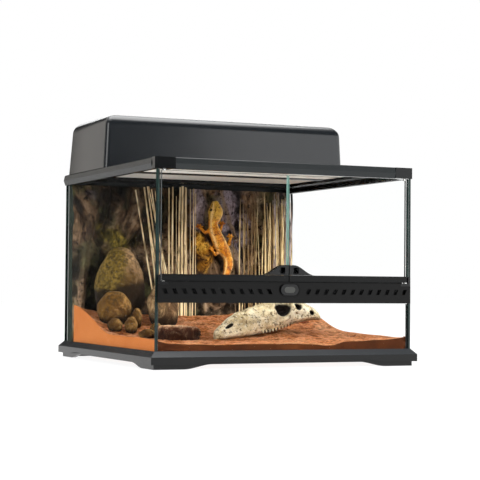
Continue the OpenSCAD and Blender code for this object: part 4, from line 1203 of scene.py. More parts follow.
@dataclass(frozen=True)
class HoodSkin:
    """The hood's moulded skin, with vents, cable notches, service pad, rails and bosses."""

    half_x: float = 226.0
    half_y: float = 100.0
    mid_y: float = 113.0
    z0: float = 325.3
    z1: float = 417.0
    round: float = 20.0
    corner: float = 9.0
    wall: float = 2.5
    draft: float = 3.5
    lean_rear: float = 8.0
    lean_front: float = 1.5
    wall_steps: int = 6
    arc_steps: int = 14
    corner_steps: int = 8
    vents: int = 19
    vent_pitch: float = 20.0
    vent_half: float = 6.0
    vent_depth: float = 15.0
    vent_z: tuple[float, float] = (389.0, 392.5)
    notch_x: tuple[float, float] = (70.0, 114.0)
    notch_depth: float = 7.5
    notch_height: float = 8.0
    overrun: float = 1.0
    gland: tuple[float, ...] = (131.5, 144.5, 347.8, 360.8)
    switch: tuple[float, ...] = (163.9, 188.1, 343.2, 365.4)
    opening_y: tuple[float, float] = (185.0, 220.0)
    pad: tuple[Point, Point] = ((120, 205, 335.3), (204, 212, 373.3))
    rail_half_x: float = 158.0
    rails_y: tuple[tuple[float, float], ...] = ((14.2, 25.5), (198.5, 211.2))
    rail_z: tuple[float, float] = (336.8, 339.3)
    boss: tuple[Point, Point] = ((212.0, 91, 337.3), (222.3, 135, 387.3))
    soften: float = 0.5

    def ring(self, off: float, z: float, level: float) -> list[Point]:
        """One level of the skin.

        Args:
            off: How far it is drawn in.
            z: Height of the level.
            level: Angle on the rounded edge in degrees, or below 0 on the wall.

        Returns:
            Points round the hood.
        """
        r = self.round - off
        share = min(1.0, (z - self.z0) / (self.z1 - self.round - self.z0))
        share = 1.0 if level >= 0 else share
        draw = r * (1 - cosd(level)) if level >= 0 else 0.0
        hx = self.half_x - off - self.draft * share - draw
        rear = self.half_y - off - self.lean_rear * share - draw
        front = self.half_y - off - self.lean_front * share - draw
        c = self.corner - off
        points = []
        for cx, cy, start in ((hx - c, rear - c, 0), (-hx + c, rear - c, 90),
                              (-hx + c, -front + c, 180), (hx - c, -front + c, 270)):
            for k in range(self.corner_steps + 1):
                a = start + 90 * k / self.corner_steps
                points.append((cx + c * cosd(a), self.mid_y + cy + c * sind(a), z))
        return points

    def skin(self, off: float) -> list[list[Point]]:
        """All levels of the outer or inner skin from its lower edge to its top."""
        r = self.round - off
        top = self.z1 - off
        rings = [self.ring(off, lerp(self.z0, top - r, k / self.wall_steps), -1)
                 for k in range(self.wall_steps)]
        rings += [self.ring(off, top - r + r * sind(90 * k / self.arc_steps),
                            90 * k / self.arc_steps) for k in range(self.arc_steps + 1)]
        return rings

    def build(self) -> None:
        """Make the hood and put it in its node's place."""
        form = Form()
        outer, inner = self.skin(0), self.skin(self.wall)
        form.loft(outer, caps=False)
        form.loft(inner, caps=False)
        n = len(outer[0])
        form.add(outer[0] + inner[0], [(i, (i + 1) % n, n + (i + 1) % n, n + i)
                                       for i in range(n)])
        form.add(outer[-1], [tuple(range(n))])
        form.add(inner[-1], [tuple(range(n))])
        shell = form.make("hood_skin", [HOOD], 30, weld=True)
        self.cut(shell)
        self.fit_out()
        install(shell, "hood", "hood_plastic", "hood_shell")

    def cut(self, shell: bpy.types.Object) -> None:
        """Cut the vents, the notches for cables and the two openings through the skin."""
        cutter = Form()
        rear = self.mid_y + self.half_y
        out = rear + self.overrun
        for i in range(self.vents):
            x = (i - self.vents // 2) * self.vent_pitch
            cutter.box((x - self.vent_half, rear - self.vent_depth, self.vent_z[0]),
                       (x + self.vent_half, out, self.vent_z[1]))
        for side in Side:
            low, high = sorted(side.value * x for x in self.notch_x)
            cutter.box((low, rear - self.notch_depth, self.z0 - self.overrun),
                       (high, out, self.z0 + self.notch_height))
        for x0, x1, z0, z1 in (self.switch, self.gland):
            cutter.box((x0, self.opening_y[0], z0), (x1, self.opening_y[1], z1))
        tool = cutter.make("hood_cutter", [HOOD], None)
        cut = shell.modifiers.new("cut", "BOOLEAN")
        cut.operation = "DIFFERENCE"
        cut.solver = "EXACT"
        cut.object = tool
        apply_modifiers(shell)
        bpy.data.objects.remove(tool)

    def fit_out(self) -> None:
        """Make the service pad, the rails and the lamp bosses inside."""
        form = Form()
        (left, y0, foot), (right, y1, top) = self.pad
        for x0, x1 in ((left, self.gland[0]), (self.gland[1], self.switch[0]),
                       (self.switch[1], right)):
            form.box((x0, y0, foot), (x1, y1, top))
        for x0, x1, z0, z1 in (self.gland, self.switch):
            form.box((x0, y0, foot), (x1, y1, z0))
            form.box((x0, y0, z1), (x1, y1, top))
        for y0, y1 in self.rails_y:
            form.box((-self.rail_half_x, y0, self.rail_z[0]), (self.rail_half_x, y1, self.rail_z[1]))
        (inner, y0, z0), (outer, y1, z1) = self.boss
        for side in Side:
            low, high = sorted((side.value * inner, side.value * outer))
            form.box((low, y0, z0), (high, y1, z1))
        parts = form.make("hood_fittings", [HOOD], None)
        bevel = parts.modifiers.new("soften", "BEVEL")
        bevel.width = self.soften * MM
        bevel.segments = 2
        apply_modifiers(parts)
        install(parts, "hood", "hood_plastic")


# ---- ground and rock ----------------------------------------------------------------------


@dataclass(frozen=True)
class Terrain:
    """The sand's surface and the rock's face, as the solids have them."""

    in_x: float = 221.0
    in_y: float = 221.0
    floor: float = 24.2
    sand_z0: float = 37.0
    sand_rise: float = 46.0
    sand_lip: float = 9.0
    mound: float = 15.0
    lip_reach: tuple[float, float] = (18.0, 45.0)
    rise_start: float = 251.0
    rise_run: float = 215.0
    mound_at: tuple[float, float] = (88.0, -36.0)
    mound_half: tuple[float, float] = (92.0, 72.0)
    rock_t: float = 27.8
    rock_foot: float = 92.0
    rock_top: float = 307.0
    right_trim: float = 15.0
    lay: float = 0.6
    lumps: tuple[tuple[float, ...], ...] = (
        (12, 140, 12, 70, 26), (26, 235, 22, 40, 20), (45, 185, 20, 34, 16),
        (70, 275, 50, 34, 10), (175, 280, 60, 30, 8), (250, 192, 22, 34, 22),
        (318, 176, 14, 34, 12), (390, 255, 46, 60, 10), (330, 275, 34, 30, 12))

    def rock(self, x: float, z: float) -> float:
        """Y of the rock's face."""
        z = max(z, self.rock_foot)
        bulge = sum(height * bell((x + self.in_x - dx) / half_x, (z - mid) / half_z)
                    for dx, mid, half_x, half_z, height in self.lumps)
        bulge += 1.6 * sind(x * 3.1 + z * 1.3) + 1.2 * sind(z * 4.3 - x * 1.7)
        return self.in_y - self.rock_t - bulge

    def sand(self, x: float, y: float) -> float:
        """Height of the sand."""
        left, right = self.lip_reach
        return (self.sand_z0 + self.sand_lip * math.exp(-(x + self.in_x) / left)
                + self.sand_lip * math.exp(-(self.in_x - x) / right)
                + self.sand_rise * ease((y - self.in_y + self.rise_start) / self.rise_run)
                * (0.78 + 0.22 * (x / self.in_x) ** 2)
                + self.mound * bell((x - self.mound_at[0]) / self.mound_half[0],
                                    (y - self.mound_at[1]) / self.mound_half[1])
                + 0.6 * sind(x * 2.3 + y * 1.1) + 0.5 * sind(y * 3.1 - x * 0.9))


LAND = Terrain()


@dataclass(frozen=True)
class SandBed:
    """The sand: a rough surface, with flat faces where it lies against the panes."""

    cols: int = 230
    rows: int = 210
    half_x: float = 220.4
    front: float = -220.6
    bead: float = 3.6
    rim: float = 0.75
    edge_reach: float = 14.0
    front_rows: int = 8
    lump_size: float = 30.0
    lump_height: float = 2.1
    pit_size: float = 9.0
    pit_height: float = 1.3
    levels: tuple[float, ...] = (0.0, 0.5, 0.9, 0.97, 1.0)

    @staticmethod
    def crest(x: float) -> float:
        """Height that the uneven edge against the front pane adds."""
        return (1.3 * grain(x, 0, 9, 46, 4) + 3.0 * ease((x - 86) / 22)
                - 1.6 * bell((x - 76) / 14, 0))

    def surface(self) -> tuple[list[list[Point]], dict[str, list[float]]]:
        """Points of the sand's surface from front to back, and the shares of painted shade in its
        hollows and of painted highlight on its crests.
        """
        rows: list[list[Point]] = []
        marks: dict[str, list[float]] = {"low": [], "high": []}
        for j in range(self.rows + 1):
            row = []
            for i in range(self.cols + 1):
                x = lerp(-self.half_x, self.half_x, i / self.cols)
                back = LAND.rock(x, 0) - LAND.lay
                y = lerp(self.front, back, j / self.rows)
                inner = min(1.0, (self.half_x - abs(x)) / self.edge_reach, j / self.front_rows)
                lumps = grain(x, y, 0, self.lump_size, 5)
                pits = grain(x, y, 5, self.pit_size, 4)
                z = LAND.sand(x, y)
                z += self.crest(x) * math.exp(-(y - self.front) / self.edge_reach)
                z += inner * (self.lump_height * lumps + self.pit_height * pits)
                if j == 0 and i in (0, self.cols):
                    x -= math.copysign(self.bead, x)
                    y += self.bead
                row.append((x, y, z))
                # Painted shade in the hollows and a painted highlight on the crests.
                marks["low"].append(inner * ease((-0.1 - pits - 0.5 * lumps) / 0.6))
                marks["high"].append(inner * ease((pits + 0.5 * lumps - 0.15) / 0.6))
            rows.append(row)
        return rows, marks

    def build(self) -> None:
        """Make the sand and put it in its node's place."""
        form = Form()
        rows, marks = self.surface()
        form.sheet(rows, **marks)
        for edge, slot in zip(edges_of(rows), (2, 1, 1, 1)):
            side = [[(x, y, lerp(LAND.floor, z, k)) for x, y, z in edge] for k in self.levels]
            form.sheet(side, slot, rim=[self.rim * (k == 1.0) for k in self.levels for _ in edge])
        foot = [(x, y, LAND.floor) for x, y, _ in rim_of(rows)]
        form.add(foot, [tuple(range(len(foot)))], 1)
        piece = form.make("red_sand", [SAND_TOP, SAND_SIDE, SAND_FRONT], 50)
        install(piece, "tank", "sand", "sand_bed")


@dataclass(frozen=True)
class Ridge:
    """A root or ridge that stands out of the rock, from one end to the other.

    Places are distances from the left pane and heights.
    """

    start: tuple[float, float]
    end: tuple[float, float]
    width: float
    root: float = 0.0

    def share(self, dx: float, z: float) -> float:
        """How far a place belongs to the ridge, from 0 to 1."""
        (x0, z0), (x1, z1) = self.start, self.end
        t = ((dx - x0) * (x1 - x0) + (z - z0) * (z1 - z0)) / ((x1 - x0) ** 2 + (z1 - z0) ** 2)
        t = min(1.0, max(0.0, t))
        off = math.hypot(dx - lerp(x0, x1, t), z - lerp(z0, z1, t)) / self.width
        return math.exp(-off ** 4)


@dataclass(frozen=True)
class Patch:
    """A patch of one colour on the rock: distance from the left pane, height, half sizes."""

    mark: str
    dx: float
    z: float
    half_x: float
    half_z: float
    strength: float = 1.0


@dataclass(frozen=True)
class RockWall:
    """The moulded rock background with crevices, moss, roots and lilac faces; the crevices, broad
    patches and sides carry painted shade.
    """

    cols: int = 300
    rows: int = 200
    half_x: float = 220.4
    back: float = 220.6
    relief: float = 11.0
    least: float = 0.4
    lump_size: float = 40.0
    lump_depth: float = 3.2
    grit_size: float = 9.0
    grit_depth: float = 1.8
    wander: float = 7.0
    wander_size: float = 46.0
    crack_from: float = 8.2
    crack_run: float = 5.0
    crack_dark: float = 0.92
    trim_from: float = 196.0
    trim_run: float = 22.0
    ridges: tuple[Ridge, ...] = (
        Ridge((0, 252), (20, 214), 8), Ridge((20, 214), (42, 176), 9),
        Ridge((46, 310), (22, 200), 9, 0.1), Ridge((22, 200), (14, 60), 9, 0.15),
        Ridge((60, 300), (48, 236), 9), Ridge((64, 196), (98, 262), 9),
        Ridge((74, 190), (126, 240), 10),
        Ridge((108, 300), (92, 250), 8), Ridge((130, 300), (136, 210), 10),
        Ridge((170, 306), (186, 250), 12), Ridge((186, 250), (196, 180), 11),
        Ridge((244, 306), (238, 252), 14, 0.1), Ridge((286, 306), (304, 250), 15, 0.1),
        Ridge((232, 226), (262, 168), 16), Ridge((300, 214), (336, 150), 8, 0.9),
        Ridge((294, 298), (321, 214), 4, 0.8), Ridge((340, 300), (352, 180), 12),
        Ridge((396, 300), (404, 150), 14), Ridge((160, 200), (150, 110), 13),
        Ridge((210, 190), (214, 110), 12), Ridge((280, 160), (286, 100), 14))
    # Some patches darken the rock as painted shade.
    patches: tuple[Patch, ...] = (
        Patch("moss", 66, 218, 30, 24), Patch("moss", 92, 200, 20, 16, 1.3),
        Patch("moss", 128, 232, 16, 34, 0.6), Patch("ochre", 238, 210, 18, 20, 1.3),
        Patch("ochre", 256, 176, 22, 24, 1.0), Patch("lilac", 240, 276, 18, 50, 1.4),
        Patch("lilac", 302, 264, 24, 54, 1.4), Patch("lilac", 330, 206, 18, 50, 0.9),
        Patch("lilac", 420, 236, 24, 76, 0.9), Patch("lilac", 262, 196, 12, 12, 0.7),
        Patch("lilac", 36, 290, 28, 20, 0.5), Patch("dim", 60, 200, 110, 150, 0.9),
        Patch("dim", 140, 296, 70, 40, 1.5), Patch("dim", 206, 220, 34, 90, 0.9))

    def carve(self, x: float, z: float) -> tuple[float, float, float]:
        """Relief at a place.

        Args:
            x: Place in X.
            z: Height.

        Returns:
            How far the face is carved in, the share of a crevice and the share of a root.
        """
        dx = x + LAND.in_x
        wander = self.wander * grain(dx, 1, z, self.wander_size, 3)
        lift, root = 0.0, 0.0
        for ridge in self.ridges:
            share = ridge.share(dx + wander, z)
            lift = max(lift, share)
            root = max(root, share * ridge.root)
        lumps = 0.5 + 0.5 * grain(x, 7, z, self.lump_size, 5)
        grit = 0.5 + 0.5 * grain(x, 2, z, self.grit_size, 4)
        depth = self.relief * (1 - lift) * (0.45 + 0.55 * lumps)
        depth = depth + self.lump_depth * lumps + self.grit_depth * grit
        return self.least + depth, ease((depth - self.crack_from) / self.crack_run), root

    def shares(self, x: float, z: float) -> dict[str, float]:
        """Shares of moss, ochre, lilac and shade at a place."""
        dx = x + LAND.in_x
        rag = grain(x, 9, z, 18, 5)
        found = dict.fromkeys(("moss", "ochre", "lilac", "dim"), 0.0)
        for patch in self.patches:
            found[patch.mark] += patch.strength * bell((dx - patch.dx) / patch.half_x,
                                                       (z - patch.z) / patch.half_z)
        return {mark: ease(1.3 * value + 0.6 * rag - 0.35) for mark, value in found.items()}

    def build(self) -> None:
        """Make the rock and put it in its node's place."""
        rows: list[list[Point]] = []
        names = ("hollow", "moss", "ochre", "lilac", "dim", "root")
        marks: dict[str, list[float]] = {name: [] for name in names}
        for j in range(self.rows + 1):
            row = []
            z = lerp(LAND.floor, LAND.rock_top, j / self.rows)
            for i in range(self.cols + 1):
                x = lerp(self.half_x, -self.half_x, i / self.cols)
                depth, crack, root = self.carve(x, z)
                depth += LAND.right_trim * ease((x - self.trim_from) / self.trim_run)
                row.append((x, min(LAND.rock(x, z) + depth, self.back - 3), z))
                for name, value in self.shares(x, z).items():
                    marks[name].append(value * (1 - root))
                # Crevices get painted shade.
                marks["hollow"].append(self.crack_dark * crack)
                marks["root"].append(root)
            rows.append(row)
        form = Form()
        form.sheet(rows, **marks)
        # Sides and back get painted shade.
        for edge in edges_of(rows):
            form.sheet([[(x, self.back, z) for x, _, z in edge], edge],
                       flank=[1.0] * (2 * len(edge)))
        rear = [(x, self.back, z) for x, _, z in rim_of(rows)]
        form.add(rear, [tuple(range(len(rear)))], flank=[1.0] * len(rear))
        piece = form.make("rock_face", [CRAG], 60)
        install(piece, "tank", "rock", "rock_background")


# ---- stones -------------------------------------------------------------------------------


@dataclass(frozen=True)
class Rounded:
    """A rounded stone laid on the sand."""

    centre: Point
    half: Point
    taper: float = 0.0
    rough: float = 0.04
    blunt: float = 1.0
    lean: float = 0.0
    moss: float = 0.0
    # Strength of the painted highlight on the upper right side.
    worn: float = 0.0
    rows: int = 46
    cols: int = 72
    seed: float = 0.0
    soft: float = 0.5
    dent: float = 0.045
    grit: float = 0.012
    sunk: float = 1.2

    def rings(self) -> tuple[list[list[Point]], dict[str, list[float]]]:
        """The stone's levels and the shares of painted shade, moss and painted highlight on their
        points.
        """
        rings: list[list[Point]] = []
        marks: dict[str, list[float]] = {"shade": [], "moss": [], "worn": []}
        cx, cy, cz = self.centre
        rx, ry, rz = self.half
        for j in range(1, self.rows):
            b = -90 + 180 * j / self.rows
            ring = []
            for i in range(self.cols):
                a = 360 * i / self.cols
                step = b / 180 * 16 + 8
                k = 1 + self.rough * sind(3 * a + 40 * step) + self.rough * sind(2 * a - 65 * step)
                s = cosd(b) ** self.blunt * (1 - self.taper * (sind(b) + 1) / 2)
                ux, uy, uz = s * cosd(a), s * sind(a), sind(b)
                dent = self.dent * grain(ux * 30 + self.seed, uy * 30, uz * 30, 26, 4)
                fine = self.grit * grain(ux * 30, uy * 30 + self.seed, uz * 30, 6, 3)
                k = k * (1 + dent + fine) - 0.02
                x = cx + rx * k * ux
                z = cz + rz * uz * (1 + 0.5 * dent) - abs(rz * 0.01)
                y = min(cy + ry * k * uy, LAND.rock(x, z) - LAND.lay)
                z = max(z, LAND.sand(x, y) + LAND.lay - self.sunk)
                ring.append((x, y, z))
                tilt = uz + self.lean * ux
                wob = 0.18 * grain(x, y, z, 20, 3)
                shade = (0.2 - 0.8 * self.soft - tilt + 0.6 * wob) / self.soft
                # Painted shade on the lower side.
                marks["shade"].append(0.92 * ease(shade))
                marks["moss"].append(self.moss * ease((-0.7 * ux + 0.4 * uz + 0.1 + wob) / 0.4))
                # Painted highlight on the upper right side, where the light falls.
                marks["worn"].append(self.worn * ease((0.7 * ux + 0.5 * uz - 0.3 + wob) / 0.4))
            rings.append(ring)
        return rings, marks

    def lay(self, form: Form) -> None:
        """Add the stone to a form."""
        rings, marks = self.rings()
        form.loft(rings, **marks)


def from_left(dx: float) -> float:
    """X at a distance from the left pane."""
    return dx - LAND.in_x


def from_rear(dy: float) -> float:
    """Y at a distance from the rear pane."""
    return LAND.in_y - dy


@dataclass(frozen=True)
class Stones:
    """Boulders, pebbles and the flat slab."""

    large: Rounded = Rounded((-149, 143, 133), (56, 36, 63), taper=0.36, rough=0.02, blunt=0.78,
                             lean=-0.2, moss=1.0, worn=0.9, rows=84, cols=130, seed=1.5, soft=0.2)
    low: Rounded = Rounded((-180, 83, 88), (34, 20, 30), taper=0.16, rough=0.03, blunt=0.8,
                           lean=-0.2, moss=0.7, worn=0.5, seed=4.0)
    round: Rounded = Rounded((-93, 75, 95), (31, 25, 44), taper=0.15, rough=0.04, blunt=0.9,
                             lean=0.1, moss=0.2, worn=0.8, seed=9.0)
    pebbles: tuple[tuple[float, ...], ...] = (
        (30, 172, 60, 14, 11, 12), (57, 178, 60, 12, 12, 15), (77, 150, 71, 10, 10, 18),
        (72, 216, 46, 16, 11, 9), (98, 189, 54, 11, 10, 11))
    slab_centre: tuple[float, float] = (-103.0, -22.0)
    slab_half: tuple[float, float] = (39.0, 30.0)
    slab_top: float = 62.0
    slab_drop: float = 7.0
    slab_sunk: float = 1.0
    slab_cols: int = 84
    slab_levels: tuple[tuple[float, float], ...] = (
        (0.0, 0.9), (0.15, 0.98), (0.3, 0.93), (0.45, 1.0), (0.6, 0.95), (0.72, 0.99),
        (0.84, 0.94), (0.93, 0.93), (1.0, 0.86), (1.0, 0.6), (1.0, 0.3), (1.0, 0.08))

    def build(self) -> None:
        """Make every stone."""
        for name, stone, finish in (("large_boulder", self.large, BOULDER),
                                    ("low_boulder", self.low, COBBLE),
                                    ("round_boulder", self.round, ROUND)):
            form = Form()
            stone.lay(form)
            install(form.make(f"{name}_stone", [finish], 70), "tank", "boulder", name)
        form = Form()
        for n, (dx, dy, z, rx, ry, rz) in enumerate(self.pebbles):
            Rounded((from_left(dx), from_rear(dy), z), (rx, ry, rz), taper=0.1, blunt=0.9,
                    moss=0.3, worn=0.9, rows=26, cols=40, seed=3.0 + 5 * n).lay(form)
        install(form.make("cobbles", [COBBLE], 70), "tank", "boulder", "pebbles")
        self.lay_slab()

    def lay_slab(self) -> None:
        """Make the flat slab with a ragged, layered edge."""
        cx, cy = self.slab_centre
        rings, marks = [], {"shade": [], "moss": [], "worn": []}
        for t, s in self.slab_levels:
            ring = []
            for i in range(self.slab_cols):
                a = 360 * i / self.slab_cols
                rag = 0.08 * grain(cosd(a) * 30, sind(a) * 30, 13 * t, 9, 4)
                k = s * (1 + 0.05 * sind(3 * a + 120 * t) + 0.04 * sind(5 * a)) + rag * s - 0.02
                x = cx + self.slab_half[0] * k * cosd(a)
                y = cy + self.slab_half[1] * k * sind(a)
                low = LAND.sand(x, y) + LAND.lay - self.slab_sunk
                top = self.slab_top - self.slab_drop * (cosd(a) * k) ** 2 * (cosd(a) > 0)
                z = low + (top - low) * t
                ring.append((x, y, z - (0.5 + 0.5 * grain(x, y, 0, 9, 3) if t == 1.0 else 0)))
                # Painted shade down the slab's sides and a painted highlight along its top.
                marks["shade"].append(0.75 * ease((0.9 - t) / 0.25))
                marks["moss"].append(0.0)
                marks["worn"].append(ease((t - 0.9) / 0.08))
            rings.append(ring)
        form = Form()
        form.loft(rings, **marks)
        install(form.make("flat_slab", [SLAB], 60), "tank", "slab", "flat_stone")


# ---- canes --------------------------------------------------------------------------------


@dataclass(frozen=True)
class Stalk:
    """One cane, from its foot on the sand to its tip."""

    x0: float
    x1: float
    row: float
    tip: float
    radius: float
    rock_top: float = LAND.rock_top
    row_step: float = 7.0
    checks: int = 12
    steps: int = 26
    sides: int = 7
    sunk: float = 1.5
    taper: float = 0.22
    knot_swell: float = 0.14
    knot_reach: float = 0.012
    knot_dark: float = 0.7

    def seat(self) -> float:
        """Y at which the cane clears the rock all along its length."""
        shares = [k / self.checks for k in range(self.checks + 1)]
        return min(LAND.rock(lerp(self.x0, self.x1, s), lerp(LAND.rock_foot, self.rock_top, s))
                   for s in shares) - self.radius - LAND.lay

    def grow(self, form: Form, rng: random.Random, slot: int = 0, sway: float = 1.2,
             knots: int = 4, sharp_tip: bool = False) -> None:
        """Add the cane to a form.

        Args:
            form: The form.
            rng: Source of its small differences.
            slot: Finish of the cane.
            sway: How far it bends sideways.
            knots: Number of joints.
            sharp_tip: True if it ends in a point.
        """
        y = self.seat() - self.row_step * self.row
        low = LAND.sand(self.x0, y) - self.sunk
        bend = rng.uniform(-sway, sway)
        joints = [rng.uniform(0.1, 0.95) for _ in range(knots)]
        path, radii, dark = [], [], []
        for k in range(self.steps + 1):
            t = k / self.steps
            near = min((abs(t - j) for j in joints), default=1.0)
            swell = self.knot_swell * math.exp(-(near / self.knot_reach) ** 2)
            thin = 1 - self.taper * t
            if sharp_tip:
                thin *= 1 - 0.75 * ease((t - 0.75) / 0.25)
            path.append((lerp(self.x0, self.x1, t) + bend * sind(180 * t), y,
                         lerp(low, self.tip, t)))
            radii.append(self.radius * (thin + swell))
            dark.append(self.knot_dark * math.exp(-(near / 0.01) ** 2))
        form.tube(path, radii, self.sides, slot, joint=dark)


@dataclass(frozen=True)
class Canes:
    """Leaning canes, upright canes and the reed clump."""

    leaners: tuple[tuple[float, ...], ...] = (
        (-69, -112, 0, 300, 1.5), (-66, -98, 1, 305, 1.7), (-58, -101, 2, 303, 1.4),
        (-50, -89, 0, 307, 1.6), (-42, -84, 1, 302, 1.3), (-37, -92, 2, 306, 1.2),
        (-55, -78, 1.5, 298, 0.8))
    uprights: tuple[tuple[float, ...], ...] = (
        (-39.5, -42, 0, 307, 1.6), (-33.5, -34.5, 0, 309, 1.9), (-27.5, -29.5, 1, 292, 0.6),
        (-21, -19.5, 0, 309, 1.9), (-17.4, -17.2, 0.7, 310, 1.6), (-14, -14.5, 0, 311, 2.3),
        (-10.4, -11, 0.8, 309, 1.5), (-4.5, -7, 0, 308, 1.1), (0.5, -1, 0.8, 306, 0.8),
        (5.5, 6.5, 0.3, 307, 1.3), (10, 8.5, 0.7, 298, 0.7), (-26, -24.5, 1.2, 284, 0.5))
    seed: int = 11
    sparse_reeds: int = 13
    dense_reeds: int = 46
    reed_span: tuple[float, float, float] = (92.0, 150.0, 207.0)

    def build(self) -> None:
        """Make the three groups."""
        rng = random.Random(self.seed)
        form = Form()
        for x0, x1, row, tip, radius in self.leaners:
            Stalk(x0, x1, row + 2, tip, radius).grow(form, rng, sway=1.6)
        install(form.make("leaning_cane_stalks", [CANE], 50), "tank", "cane", "leaning_canes")
        form = Form()
        for x0, x1, row, tip, radius in self.uprights:
            Stalk(x0, x1, row, tip, radius).grow(form, rng, sway=0.6)
        install(form.make("upright_cane_stalks", [CANE], 50), "tank", "cane", "upright_canes")
        self.grow_reeds(rng)

    def grow_reeds(self, rng: random.Random) -> None:
        """Make the clump of reeds and bark strips, thin at its left and dense at its right."""
        form = Form()
        left, middle, right = self.reed_span
        for k in range(self.sparse_reeds):
            x = lerp(left, middle, (k + rng.uniform(0.1, 0.9)) / self.sparse_reeds)
            reed = Stalk(x, x + rng.uniform(-7, 4), rng.choice((0.0, 0.5)), rng.uniform(236, 296),
                         rng.uniform(0.8, 1.6))
            slot = 0 if rng.random() < 0.6 else 2
            reed.grow(form, rng, slot, sway=2.0, knots=3, sharp_tip=True)
        for k in range(self.dense_reeds):
            x = lerp(middle, right, (k + rng.uniform(-0.3, 0.3)) / self.dense_reeds)
            slot = rng.choice((0, 0, 0, 1, 2))
            reed = Stalk(x, x + rng.uniform(-6, 6), rng.choice((0.0, 0.3, 0.7, 1.0)),
                         rng.uniform(270, 309), rng.uniform(0.8, 2.4))
            reed.grow(form, rng, slot, sway=2.4, knots=3, sharp_tip=True)
        install(form.make("reed_stalks", [REED, BARK, STALE], 50), "tank", "cane", "reed_clump")


# ---- skull --------------------------------------------------------------------------------


@dataclass(frozen=True)
class Socket:
    """A hollow in the near side of the skull."""

    share: float
    angle: float
    half_share: float
    half_angle: float
    depth: float

    def at(self, share: float, angle: float, steep: float = 1.55, reach: float = 1.25) -> float:
        """How far a place belongs to the hollow.

        Args:
            share: Share of the skull's length.
            angle: Angle round the skull's near side in degrees.
            steep: How steeply the hollow's edge falls.
            reach: How far the edge lies from the middle, in half sizes.

        Returns:
            A share from 0 to 1.
        """
        u, v = (share - self.share) / self.half_share, (angle - self.angle) / self.half_angle
        return ease(steep * (reach - math.hypot(u, v)))


